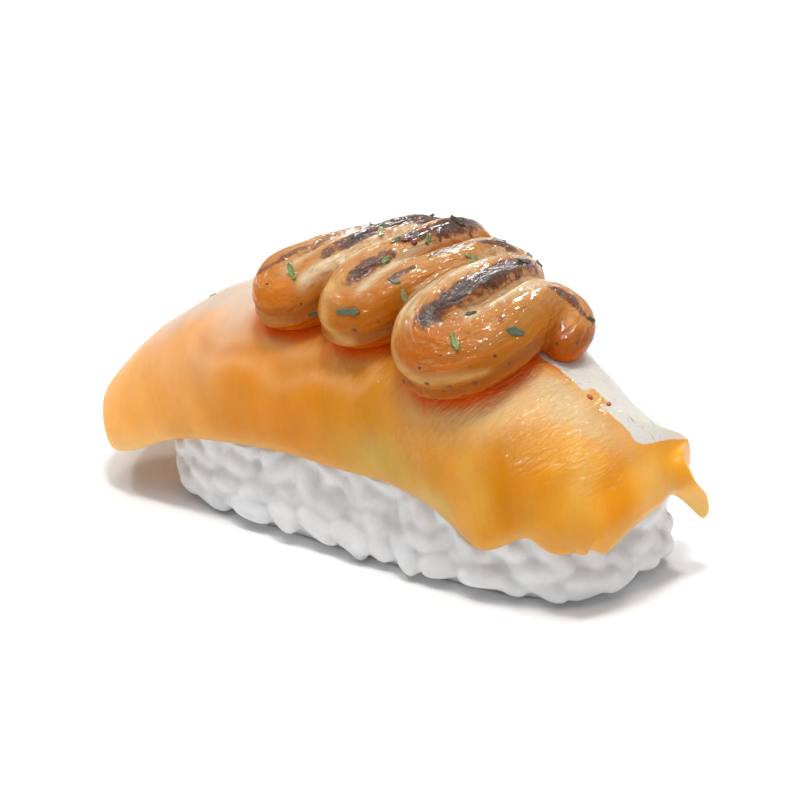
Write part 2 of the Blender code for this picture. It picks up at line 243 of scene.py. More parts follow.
def attribute(tree: bpy.types.NodeTree, name: str, output: str = "Fac") -> bpy.types.NodeSocket:
    """What the mesh keeps under a name for its material: a share, or a place or colour by its output."""
    return add_node(tree, "Attribute", attribute_name=name).outputs[output]


def pattern(
    tree: bpy.types.NodeTree,
    where: bpy.types.NodeSocket,
    size: float = 1.0,
    detail: float = 2.0,
    roughness: float = 0.5,
    distortion: float = 0.0,
) -> bpy.types.NodeSocket:
    """A noise pattern.

    Args:
        tree: The material's node tree.
        where: The places that it reads.
        size: How large its marks are, in the places' unit.
        detail: How many finer noises lie in it.
        roughness: How strong the finer noises are.
        distortion: How much the pattern is twisted.

    Returns:
        The pattern, about 0.5 in the middle of its range.
    """
    inputs = {"Vector": where, "Scale": 1 / size, "Detail": detail}
    return add_node(tree, "TexNoise", {**inputs, "Roughness": roughness, "Distortion": distortion}).outputs[
        "Fac"
    ]


def ranged(
    tree: bpy.types.NodeTree,
    value: bpy.types.NodeSocket,
    low: float,
    high: float,
    start: float = 0.0,
    end: float = 1.0,
) -> bpy.types.NodeSocket:
    """Turns a value between low and high into one between start and end, and holds it there outside."""
    return add_node(tree, "MapRange", {0: value, 1: low, 2: high, 3: start, 4: end}).outputs[0]


def plus(
    tree: bpy.types.NodeTree, value: bpy.types.NodeSocket, factor: float, more: bpy.types.NodeSocket | float
) -> bpy.types.NodeSocket:
    """A value times a factor, with another value added."""
    return add_node(tree, "Math", {0: value, 1: factor, 2: more}, operation="MULTIPLY_ADD").outputs[0]


def times(
    tree: bpy.types.NodeTree, value: bpy.types.NodeSocket, other: bpy.types.NodeSocket
) -> bpy.types.NodeSocket:
    """One value times another."""
    return add_node(tree, "Math", {0: value, 1: other}, operation="MULTIPLY").outputs[0]


def blend(
    tree: bpy.types.NodeTree, share: bpy.types.NodeSocket, under: object, over: object
) -> bpy.types.NodeSocket:
    """Lays a colour over another, as far as the share says."""
    return add_node(tree, "Mix", {0: share, 6: under, 7: over}, data_type="RGBA").outputs[2]


def shaded(
    tree: bpy.types.NodeTree, colour: bpy.types.NodeSocket, brightness: bpy.types.NodeSocket
) -> bpy.types.NodeSocket:
    """Makes a colour darker or brighter."""
    return add_node(tree, "VectorMath", {0: colour, "Scale": brightness}, operation="SCALE").outputs[0]


def ripple(tree: bpy.types.NodeTree, height: bpy.types.NodeSocket, under: float, film: float) -> None:
    """Ripples the shader's surface a little, and the wet film over it more.

    Args:
        tree: The material's node tree.
        height: The pattern that gives the height.
        under: Depth of the ripples in the surface, in mm.
        film: Depth of the ripples in the film, in mm.
    """
    shader = tree.nodes["Principled BSDF"]
    for depth, socket in ((under, "Normal"), (film, "Coat Normal")):
        bump = add_node(tree, "Bump", {"Height": height, "Strength": 1.0, "Distance": depth * MM})
        tree.links.new(bump.outputs[0], shader.inputs[socket])


def set_values(
    shader: bpy.types.Node, scatter_mm: tuple[float, float, float] | None = None, **values: object
) -> None:
    """Sets a shader's uniform values.

    Args:
        shader: The shader node.
        scatter_mm: How far red, green and blue light travels inside, if any does.
        **values: The other inputs, by name with "_" for each space.
    """
    if scatter_mm:
        shader.inputs["Subsurface Radius"].default_value = tuple(reach * MM for reach in scatter_mm)
        shader.inputs["Subsurface Scale"].default_value = 1.0
    for name, value in values.items():
        shader.inputs[name.replace("_", " ")].default_value = value


def new_material(name: str) -> tuple[bpy.types.Material, bpy.types.NodeTree, bpy.types.Node]:
    """Makes a material with an empty Principled shader.

    Args:
        name: The material's name.

    Returns:
        The material, its node tree and the shader node.
    """
    material = bpy.data.materials.new(name)
    material.use_nodes = True
    return material, material.node_tree, material.node_tree.nodes["Principled BSDF"]


@dataclass(frozen=True)
class Curve:
    """A smooth curve through (place, value) points, level beyond its ends."""

    points: tuple[tuple[float, float], ...]

    def at(self, where: Array | float) -> Array:
        """Reads the curve.

        Args:
            where: The places to read it at.

        Returns:
            The curve's value at each place.
        """
        x, y = np.array(self.points, float).T
        count = np.arange(len(x))
        ahead, behind = np.minimum(count + 1, len(x) - 1), np.maximum(count - 1, 0)
        slope = (y[ahead] - y[behind]) / (x[ahead] - x[behind])
        where = np.clip(where, x[0], x[-1])
        i = np.clip(np.searchsorted(x, where), 1, len(x) - 1)
        span = x[i] - x[i - 1]
        t = (where - x[i - 1]) / span
        return (
            (2 * t**3 - 3 * t**2 + 1) * y[i - 1]
            + (t**3 - 2 * t**2 + t) * span * slope[i - 1]
            + (3 * t**2 - 2 * t**3) * y[i]
            + (t**3 - t**2) * span * slope[i]
        )


@dataclass
class Drape:
    """How the slice lies over the rice: its ridge, its turned-down sides, its hems and its thickness, in mm."""

    ridge_height: float = 23.2
    ridge_x: float = 1.2
    ridge_y: float = 0.8
    ridge_turn: Curve = Curve(
        (
            (-54, -47), (-42, -47), (-33, -36), (-24, -16.5), (-12, -3.5), (0, 0), (10, 11), (18, 27.4),
            (24, 34.5),
            (28, 42), (31, 28), (33.5, 68), (36, 57), (42, 72),
        )
    )
    side_turn: Curve = Curve(
        ((-54, 50), (-40, 68), (-26, 84), (20, 88.5), (28, 83.5), (34, 77), (44, 66.5))
    )
    lean: Curve = Curve(((-10, 1.0), (10, 0.85), (24, 0.62), (36, 0.5)))
    shoulder: float = 19.0
    shoulder_rounding: float = 1.15
    top_thickness: float = 4.0
    hem_thickness: float = 1.0
    hem_taper: float = 9.0
    gap: float = 0.3
    front_hem: Curve = Curve(
        (
            (-50, 12), (-43, 17), (-35, 18.6), (-28, 19.5), (-20, 20.1), (-11, 20.3), (-4, 20.6), (2, 20.5),
            (7, 20.5), (11, 20.5), (14, 20.7), (17, 20.7), (19.5, 20.7), (22, 20.6), (24.5, 18.4), (27, 15.3),
            (30, 14.2), (33.5, 11.1), (38, 6.5),
        )
    )
    back_hem: Curve = Curve(
        (
            (-50, 11), (-40, 14.5), (-28, 17), (-14, 18), (0, 17), (7, 15.5), (12, 13.5), (16, 9.8), (20, 8.4),
            (24, 7.7), (27, 9.7), (29.5, 13.5), (32, 7.3), (35, 8.7), (38, 10),
        )
    )
    left_end: Curve = Curve(((-1, -45.4), (-0.5, -49.8), (0, -51.3), (0.5, -50), (1, -46)))
    right_end: Curve = Curve(
        ((-1, 35.3), (-0.5, 34.8), (0.1, 34.2), (0.45, 33.9), (0.75, 37.3), (1, 35))
    )
    ridge: tuple[Array, Array, Array, Array] = field(init=False)

    def __post_init__(self) -> None:
        """Works out the ridge line once, from how far it has turned at each length."""
        step = 0.25
        first, last = self.ridge_turn.points[0][0], self.ridge_turn.points[-1][0]
        along = first + step * np.arange(round((last - first) / step) + 1)
        turn = np.radians(self.ridge_turn.at(along))
        middle = (turn[1:] + turn[:-1]) / 2
        x = np.concatenate([[0], np.cumsum(step * np.cos(middle))])
        z = np.concatenate([[0], np.cumsum(-step * np.sin(middle))])
        x += self.ridge_x - np.interp(0, along, x)
        z += self.ridge_height - np.interp(0, along, z)
        self.ridge = (along, x, z, turn)

    def underside(self, along: Array, across: Array) -> Array:
        """Points of the slice's underside, in mm.

        Args:
            along: Lengths along the ridge.
            across: Lengths down from it.

        Returns:
            One row of x, y and z for each.
        """
        lengths, xs, zs, turns = self.ridge
        x, z, turn = (np.interp(along, lengths, values) for values in (xs, zs, turns))
        lean = turn * self.lean.at(along)
        steepest = np.radians(self.side_turn.at(along))
        step = np.abs(across) / 24
        share = np.minimum(1, (np.arange(24) + 0.5) * step[:, None] / self.shoulder) ** self.shoulder_rounding
        angles = steepest[:, None] * share
        out, drop = step * np.cos(angles).sum(1), step * np.sin(angles).sum(1)
        return np.stack(
            [x - np.sin(lean) * drop, self.ridge_y + np.copysign(out, across), z - np.cos(lean) * drop], 1
        )

    def lifted(self, along: Array, across: Array, lift: Array | float) -> Array:
        """Points over the underside, raised along its normal.

        Args:
            along: Lengths along the ridge.
            across: Lengths down from it.
            lift: How far each is raised.

        Returns:
            One row of x, y and z in mm for each.
        """
        ahead = self.underside(along + 0.05, across) - self.underside(along - 0.05, across)
        aside = self.underside(along, across + 0.05) - self.underside(along, across - 0.05)
        normal = np.cross(ahead, aside)
        normal /= np.linalg.norm(normal, axis=1)[:, None]
        return self.underside(along, across) + normal * np.reshape(np.broadcast_to(lift, along.shape), (-1, 1))

    def place(self, a: Array, b: Array) -> tuple[Array, Array]:
        """Lengths along and across for places on the slice: a from left to right, b from front to back."""
        left, right = self.left_end.at(b), self.right_end.at(b)
        along = left + (right - left) * (a + 1) / 2
        front, back = -self.front_hem.at(along), self.back_hem.at(along)
        return along, front + (back - front) * (b + 1) / 2

    def inward(self, along: Array, across: Array) -> Array:
        """How far places on the slice lie inside its rim, in mm."""
        front, back = -self.front_hem.at(along), self.back_hem.at(along)
        b = 2 * (across - front) / (back - front) - 1
        left, right = self.left_end.at(b), self.right_end.at(b)
        return np.maximum(
            0, np.minimum.reduce([across - front, back - across, 1.5 * (along - left), right - along])
        )

    def thickness(self, along: Array, across: Array) -> Array:
        """Thickness of the slice: full on top, thin at its hems and ends."""
        rise = np.sin(np.pi / 2 * np.minimum(1, self.inward(along, across) / self.hem_taper))
        return self.hem_thickness + (self.top_thickness - self.hem_thickness) * rise

    def on_top(self, along: Array, across: Array, height: Array | float) -> Array:
        """Points at a height over the top of the slice, in mm."""
        return self.lifted(along, across, self.gap + self.thickness(along, across) + height)


@dataclass(frozen=True)
class Patch:
    """A soft-edged patch of colour on a surface, with its centre and half sizes in mm."""

    colour: str
    centre: tuple[float, ...]
    reach: tuple[float, ...]
    strength: float = 1.0
    turn: float = 0.0

    def mask(self, points: Array) -> Array:
        """How much of the patch is at each point.

        Args:
            points: Places on the surface, with as many columns as the centre.

        Returns:
            One share for each, highest in the middle.
        """
        away = points - np.array(self.centre)
        angle = math.radians(self.turn)
        x, y = away[:, 0], away[:, 1]
        away = away.copy()
        away[:, 0] = x * math.cos(angle) + y * math.sin(angle)
        away[:, 1] = y * math.cos(angle) - x * math.sin(angle)
        return self.strength * np.exp(-np.sum((away / np.array(self.reach)) ** 2, axis=1) ** 1.3)


def tinted(base: Array, masks: list[tuple[str, Array]]) -> Array:
    """Lays colours over each other.

    Args:
        base: The ground colour of each vertex, linear.
        masks: Each colour as hex, and how much of it each vertex gets.

    Returns:
        The linear colour of each vertex.
    """
    colour = base.copy()
    for name, mask in masks:
        colour += (np.array(linear(name)) - colour) * np.clip(mask, 0, 1)[:, None]
    return colour


@dataclass(frozen=True)
class SalmonFinish:
    """Raw salmon, brushed with oil and lightly seared: soft translucent flesh under a wet film.

    Light goes in and comes out orange a few millimetres on, fat lines show as pale veins, and the oil film
    gives small hard glints where the seared surface is rough.
    """

    fat: str = "#EBB468"
    sheen: str = "#FFD9A0"
    silver: str = "#DAD6CC"
    silver_mark: str = "#8D9082"
    roughness: float = 0.42
    scatter_mm: tuple[float, float, float] = (3.2, 1.1, 0.3)
    fibre_mm: float = 0.55
    vein_mm: float = 3.4
    glint_mm: float = 0.44

    def material(self) -> bpy.types.Material:
        """Builds the material, which reads the slice's own attributes."""
        material, tree, shader = new_material("salmon_flesh")
        where, grain = (attribute(tree, name, "Vector") for name in ("lay", "grain"))
        # Muscle fibres run across the slice; lay and grain are in millimetres, and so are the sizes here.
        fibre_way = stretched(tree, grain, (self.fibre_mm, self.fibre_mm * 6, 1))
        fibre = pattern(tree, fibre_way, detail=3.0, roughness=0.6)
        vein_way = stretched(tree, grain, (self.vein_mm, self.vein_mm * 6, 1))
        vein_share = ranged(tree, pattern(tree, vein_way, distortion=0.6), 0.5, 0.72, 0.0, 0.12)
        flesh = blend(tree, vein_share, attribute(tree, "tint", "Color"), linear(self.fat))
        flesh = shaded(tree, flesh, ranged(tree, fibre, 0.3, 0.7, 0.975, 1.02))
        cloud = pattern(tree, where, 5.0, 4.0, 0.55)
        flesh = shaded(tree, flesh, ranged(tree, cloud, 0.35, 0.7, 0.93, 1.05))
        # The silver side: short grey-green scale marks that run along the strip, which has a ragged edge.
        mark = pattern(tree, stretched(tree, where, (1.3, 0.32, 1), 0.10), detail=1.0)
        mark_share = ranged(tree, mark, 0.66, 0.74, 0.0, 0.7)
        silver = blend(tree, mark_share, linear(self.silver), linear(self.silver_mark))
        ragged = plus(tree, pattern(tree, where, 1.2, 3.0), 0.5, attribute(tree, "silver"))
        colour = blend(tree, ranged(tree, ragged, 0.68, 0.84), flesh, silver)
        tree.links.new(colour, shader.inputs["Base Color"])
        # The seared, oily zone: fine ridges about half a millimetre apart catch the light one by one.
        wet = attribute(tree, "wet")
        glint_way = stretched(tree, where, (self.glint_mm, self.glint_mm * 2.6, 1), -0.2)
        ridges = times(tree, pattern(tree, glint_way, detail=1.5, distortion=0.6), wet)
        ripple(tree, plus(tree, fibre, 0.05, ridges), 0.2, 0.7)
        tree.links.new(plus(tree, wet, 0.9, 0.06), shader.inputs["Coat Weight"])
        set_values(shader, self.scatter_mm, Roughness=self.roughness, IOR=1.38, Subsurface_Weight=0.45)
        set_values(
            shader, Specular_IOR_Level=0.2, Specular_Tint=linear(self.sheen), Coat_Roughness=0.06, Coat_IOR=1.46
        )
        return material


@dataclass(frozen=True)
class RiceFinish:
    """Cooked short-grain rice: milky, translucent grains, damp on the outside and so softly shiny."""

    grain: str = "#E8E9EA"
    core: str = "#DDDEDF"
    roughness: float = 0.5
    scatter_mm: tuple[float, float, float] = (2.0, 1.9, 1.8)

    def material(self) -> bpy.types.Material:
        """Builds the material from Object coordinates."""
        material, tree, shader = new_material("cooked_rice")
        where = add_node(tree, "TexCoord").outputs["Object"]
        milk = pattern(tree, where, 2.6 * MM, 3.0, 0.6)
        colour = blend(tree, ranged(tree, milk, 0.38, 0.66), linear(self.core), linear(self.grain))
        tree.links.new(colour, shader.inputs["Base Color"])
        starch = pattern(tree, where, 0.7 * MM)
        bump = add_node(tree, "Bump", {"Height": starch, "Strength": 0.12, "Distance": 0.1 * MM})
        tree.links.new(bump.outputs[0], shader.inputs["Normal"])
        set_values(shader, self.scatter_mm, Roughness=self.roughness, IOR=1.4, Subsurface_Weight=0.5)
        set_values(shader, Coat_Weight=0.08, Coat_Roughness=0.3)
        return material


@dataclass(frozen=True)
class SauceFinish:
    """Torched mayonnaise sauce: a creamy, oily emulsion, browned and charred on its crests and amber below."""

    toast: str = "#8E4C16"
    brown: str = "#74401F"
    char: str = "#483934"
    soot: str = "#7C5F50"
    ember: str = "#AC6208"
    pepper: str = "#5E2E14"
    sheen: str = "#FFD9A0"
    roughness: float = 0.34
    scatter_mm: tuple[float, float, float] = (2.4, 1.0, 0.35)
    streak_mm: float = 0.5

    def material(self) -> bpy.types.Material:
        """Builds the material, which reads the sauce's own attributes."""
        material, tree, shader = new_material("torched_sauce")
        where = add_node(tree, "TexCoord").outputs["Object"]
        burn = attribute(tree, "burn")
        blister = pattern(tree, where, 1.1 * MM, 4.0, 0.65)
        # Drawn-out streaks follow the strokes; lay holds the length along the rope and to its side, in mm.
        lay = attribute(tree, "lay", "Vector")
        streak_way = stretched(tree, lay, (self.streak_mm * 9, self.streak_mm, self.streak_mm * 2))
        streak = pattern(tree, streak_way, detail=3.0, roughness=0.6, distortion=0.3)
        scorch = ranged(tree, plus(tree, blister, 1.5, plus(tree, streak, 0.7, burn)), 1.13, 2.07)
        ramp = add_node(tree, "ValToRGB", {"Fac": scorch})
        stops = ramp.color_ramp.elements
        stops[0].position, stops[0].color = 0.30, linear(self.toast)
        stops[1].position, stops[1].color = 0.85, linear(self.char)
        middle = stops.new(0.55)
        middle.color = linear(self.brown)
        # Amber freckles, a millimetre or so wide, all over the top where the torch passed.
        freckle_share = ranged(tree, pattern(tree, where, 1.6 * MM, distortion=0.4), 0.52, 0.68, 0.0, 0.5)
        sauce = blend(tree, freckle_share, attribute(tree, "tint", "Color"), linear(self.ember))
        # Ground spice: brown points about a third of a millimetre across, a few millimetres apart.
        spice = add_node(tree, "TexVoronoi", {"Vector": where, "Scale": 1 / (2.8 * MM)})
        spice_share = ranged(tree, spice.outputs["Distance"], 0.05, 0.10, 0.85, 0.0)
        sauce = blend(tree, spice_share, sauce, linear(self.pepper))
        sauce = shaded(tree, sauce, ranged(tree, streak, 0.32, 0.68, 0.92, 1.08))
        # Paler soot specks half a millimetre wide break the char.
        speck_share = ranged(tree, pattern(tree, where, 0.5 * MM, roughness=0.6), 0.5, 0.68, 0.0, 0.75)
        scorched = blend(tree, speck_share, ramp.outputs["Color"], linear(self.soot))
        colour = blend(tree, ranged(tree, scorch, 0.22, 0.48), sauce, scorched)
        tree.links.new(colour, shader.inputs["Base Color"])
        # Soft swells about a millimetre long, so that the wet film breaks the light into small crisp glints.
        swell = pattern(tree, stretched(tree, lay, (1.15, 0.62, 0.9)), detail=1.2, distortion=0.7)
        ripple(tree, plus(tree, times(tree, blister, burn), 0.45, swell), 0.25, 0.6)
        tree.links.new(ranged(tree, attribute(tree, "wet"), 0.0, 1.0, 0.18, 0.9), shader.inputs["Coat Weight"])
        set_values(shader, self.scatter_mm, Roughness=self.roughness, IOR=1.46, Subsurface_Weight=0.5)
        set_values(shader, Specular_IOR_Level=0.08, Specular_Tint=linear(self.sheen), Coat_Roughness=0.03)
        return material


@dataclass(frozen=True)
class FleckFinish:
    """Small dry bits wetted by the sauce: dried herb leaf or chili, with the colour each bit carries."""

    name: str
    roughness: float

    def material(self) -> bpy.types.Material:
        """Builds the material from each bit's own tint and a fine mottle."""
        material, tree, shader = new_material(self.name)
        where = add_node(tree, "TexCoord").outputs["Object"]
        mottle = pattern(tree, where, 0.35 * MM, 3.0)
        tint = attribute(tree, "tint", "Color")
        colour = shaded(tree, tint, ranged(tree, mottle, 0.3, 0.7, 0.65, 1.3))
        tree.links.new(colour, shader.inputs["Base Color"])
        bump = add_node(tree, "Bump", {"Height": mottle, "Strength": 0.5, "Distance": 0.1 * MM})
        tree.links.new(bump.outputs[0], shader.inputs["Normal"])
        set_values(shader, Roughness=self.roughness, Coat_Weight=0.5, Coat_Roughness=0.1)
        return material


@dataclass
class SalmonSlice:
    """The slice: a fine sheet laid on the drape, with flesh relief, a silver strip and thin rounded hems."""

    drape: Drape
    finish: SalmonFinish = SalmonFinish()
    cells_along: int = 250
    cells_across: int = 112
    rim_radius: float = 0.9
    rim_crowding: float = 0.35
    silver_edge: Curve = Curve(
        (
            (-46, 17), (-34, 15.5), (-22, 12.5), (-10, 8.5), (0, 4.5), (8, 0.5), (14, -2.2), (18, -2.1),
            (22.5, -2.3), (24.8, -1.7), (26.3, -1.3), (27.6, -1.2), (28.6, 0.4), (29.1, 3.6), (29.8, 9),
            (30.4, 13),
        )
    )
    crease: tuple[tuple[float, float], ...] = (
        (-24, -10.6), (-18.3, -11.2), (-12, -11.6), (-6, -11.3), (-1, -10.9)
    )
    ground: tuple[tuple[float, str], ...] = (
        (-50, "#FFB63A"), (-42, "#F7AB4C"), (-30, "#EFA348"), (-16, "#E19028"), (-4, "#D48710"), (8, "#D48D10"),
        (20, "#E09414"), (36, "#EFA530"),
    )
    patches: tuple[Patch, ...] = (
        Patch("#FFAD2C", (-46, -8), (4.5, 8), 0.75),
        Patch("#CDB8AA", (-25, -4.0), (13, 7.8), 0.95),
        Patch("#D6BC9A", (-14, -3), (10, 5.5), 0.7),
        Patch("#DCC4AA", (-30, 4), (12, 7), 0.7),
        Patch("#F0A34E", (-28, -9.5), (5, 2.6), 0.7),
        Patch("#DC8718", (-12, -16), (9, 4), 0.75),
        Patch("#DC9646", (-8, -10.2), (8, 1.4), 0.7),
        Patch("#C87E00", (5, -13.5), (5, 3.6), 0.8),
        Patch("#CCA74A", (4, -17.8), (7, 2.4), 0.85),
        Patch("#D2B468", (14.5, -19.4), (4.5, 2.4), 0.75),
        Patch("#D6BF96", (20.5, -4.4), (7.5, 2.2), 0.9, 10),
        # Seared pale flesh in the oily zone, lightened further by a painted sheen.
        Patch("#F0CB92", (14.5, -8.6), (8.0, 3.8), 0.8, 24),
        Patch("#D28300", (22.6, -12.6), (2.6, 5.0), 0.9, 48),
        Patch("#E18D00", (30.4, -5.6), (1.9, 4.6), 0.9, 56),
        Patch("#E3AD4A", (19.2, -15.4), (1.5, 4.5), 0.6, 48),
        Patch("#E4AD4E", (27.4, -8.2), (1.4, 5.0), 0.75, 54),
        Patch("#EBB65C", (31.8, -1.2), (1.2, 3.4), 0.6, 50),
        Patch("#E19E40", (30.5, -12.0), (2.6, 2.4), 0.6),
        Patch("#FFD680", (36, 6), (3.0, 4), 0.8),
    )
    seared: tuple[Patch, ...] = (
        Patch("", (17.5, -7.8), (12, 5.6), 1.3, 33),
        Patch("", (0, -11.2), (11, 3.2), 0.75),
        Patch("", (28, -5), (5, 5), 0.35),
    )
    # Each raised band of fat: its place along and across, and its height in mm.
    bands: tuple[tuple[float, float, float], ...] = (
        (19.2, -15.4, 0.28), (27.4, -8.2, 0.30), (31.8, -1.2, 0.22), (11.5, -15, 0.2), (3.5, -15, 0.15)
    )

    def relief(self, along: Array, across: Array, flat: Array) -> Array:
        """Swells and hollows of the top, in mm: broad unevenness, a crease along the front and fat bands."""
        crease = path_distance(flat[:, :2], self.crease_path())
        groove = -0.12 * np.exp(-((crease / 0.9) ** 2)) + 0.08 * np.exp(-(((crease - 1.9) / 1.1) ** 2))
        swell = 0.22 * rough_field(flat, 9.0, 1) + 0.10 * rough_field(flat, 3.2, 2)
        band = np.zeros(len(along))
        for centre, middle, height in self.bands:
            away = along - centre + (across - middle) * self.slant(along)
            reach = smooth(across, -4.0, -9.0)
            band += height * np.exp(-((away / 1.5) ** 2)) * reach
        return groove + swell + band

    def slant(self, along: Array) -> Array:
        """How far the fibres run along the slice for each millimetre across: they fan out to the right end."""
        return np.interp(along, (-40, -10, 8, 20, 34), (0.05, 0.25, 0.75, 1.1, 1.2))

    def crease_path(self) -> Array:
        """The crease along the front as a smooth line, in lengths along and across."""
        along = np.linspace(self.crease[0][0], self.crease[-1][0], 40)
        return np.stack([along, Curve(self.crease).at(along)], 1)

    def build(self, sauce: BVHTree) -> bpy.types.Object:
        """Lays the sheet, gives it its two sides and keeps what the material reads.

        Args:
            sauce: The sauce's surface, so that oil shows round its foot.

        Returns:
            The slice.
        """
        bm = bmesh.new()
        bmesh.ops.create_grid(bm, x_segments=self.cells_along, y_segments=self.cells_across, size=1)
        bm.verts.index_update()
        side = bm.verts.layers.int.new("side")
        spots = np.array([vert.co.to_tuple()[:2] for vert in bm.verts])
        source = bm.verts.layers.int.new("source")
        for vert in bm.verts:
            vert[source] = vert.index
            vert[side] = 1
        copied = bmesh.ops.extrude_face_region(bm, geom=bm.faces[:], use_keep_orig=True)["geom"]
        for item in copied:
            if isinstance(item, bmesh.types.BMVert):
                item[side] = 0
        mesh = bpy.data.meshes.new("salmon_slice")
        bm.verts.index_update()
        order = np.array([vert[source] for vert in bm.verts])
        top = np.array([vert[side] for vert in bm.verts], float)
        bmesh.ops.recalc_face_normals(bm, faces=bm.faces)
        bm.to_mesh(mesh)
        bm.free()
        # Cells crowd towards the rim, where the sheet curves round.
        crowding = self.rim_crowding
        a, b = ((1 + crowding) * spots[order, i] - crowding * spots[order, i] ** 3 for i in (0, 1))
        along, across = self.drape.place(a, b)
        flat = np.stack([along, across, np.zeros(len(along))], 1)
        inward = self.drape.inward(along, across)
        round_off = np.sqrt(np.maximum(0.0, 1 - (1 - np.minimum(1, (inward + 0.03) / self.rim_radius)) ** 2))
        thickness = self.drape.thickness(along, across)
        fray = 0.35 * rough_field(flat, 4.5, 5) * np.exp(-inward / 1.5)
        flesh = thickness + self.relief(along, across, flat)
        lift_top = self.drape.gap + 0.3 * thickness * (1 - round_off) + flesh * round_off
        lift_low = self.drape.gap + 0.3 * thickness * (1 - round_off)
        lift = np.where(top > 0.5, lift_top, lift_low) + fray * 0.3
        points = self.drape.lifted(along, across, lift)
        mesh.vertices.foreach_set("co", (points * MM).astype(np.float32).ravel())
        mesh.update()
        mesh.shade_smooth()
        self.keep_masks(mesh, flat, top, inward, points, sauce)
        return link_object("salmon_slice", mesh)

    def keep_masks(
        self, mesh: bpy.types.Mesh, flat: Array, top: Array, inward: Array, points: Array, sauce: BVHTree
    ) -> None:
        """Works out the slice's colours and keeps them on the mesh.

        Args:
            mesh: The slice.
            flat: Lengths along and across of each vertex, and a zero.
            top: 1 for each vertex of the upper side, 0 below.
            inward: How far each vertex lies inside the rim.
            points: Each vertex's place in mm.
            sauce: The sauce's surface.
        """
        along, across = flat[:, 0], flat[:, 1]
        warp = flat + np.stack(
            [1.6 * rough_field(flat, 6.0, 8), 1.2 * rough_field(flat, 5.0, 9), np.zeros(len(flat))], 1
        )
        stops = np.array([place for place, _ in self.ground], float)
        colours = np.array([linear(colour) for _, colour in self.ground])
        base = np.stack([np.interp(warp[:, 0], stops, colours[:, i]) for i in range(4)], 1)
        layers = [(patch.colour, patch.mask(warp[:, :2])) for patch in self.patches]
        thin = smooth(inward, 2.6, 0.2)
        layers.append(("#EFC27E", thin * 0.6 * smooth(along, -30.0, -38.0)))
        layers.append(("#D8AE6C", thin * 0.45 * smooth(along, -38.0, -30.0)))
        crease = path_distance(warp[:, :2], self.crease_path())
        # The crease: painted shade darkens the groove and a painted highlight lightens the lip below it.
        layers.append(("#EBB27C", 0.3 * np.exp(-(((crease - 1.3) / 0.7) ** 2)) * smooth(across, -9.0, -10.5)))
        layers.append(("#C8741E", 0.3 * np.exp(-((crease / 0.7) ** 2))))
        near = np.array([sauce.find_nearest(Vector(p) * MM, 6 * MM)[3] or 6 * MM for p in points.tolist()]) / MM
        wander = 1 + 0.45 * rough_field(flat, 3.5, 12)
        layers.append(("#E46E0C", 0.70 * smooth(near / wander, 2.6, 0.6)))
        layers.append(("#F86814", 0.9 * smooth(near / wander, 1.2, 0.3)))
        store(mesh, "tint", tinted(base, layers))
        store(mesh, "lay", flat)
        grain = flat.copy()
        grain[:, 0] += self.slant(along) * across
        store(mesh, "grain", grain)
        edge = across - self.silver_edge.at(along)
        end = smooth(along, 30.6, 29.8)
        stain = np.exp(-((np.hypot((along - 22.0) / 1.7, (across + 1.5) / 1.0)) ** 2))
        silver = smooth(edge, -0.7, 0.7) * end * (1 - 0.8 * stain)
        store(mesh, "silver", silver)
        seared = sum(patch.mask(flat[:, :2]) for patch in self.seared)
        store(mesh, "wet", 0.10 + 0.9 * np.clip(seared, 0, 1) * top)

    def dress(self, slice_obj: bpy.types.Object) -> None:
        """Gives the slice its finish, its body and the node that it stands for."""
        slice_obj.data.materials.append(self.finish.material())
        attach(slice_obj, BODY)
        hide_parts("salmon")


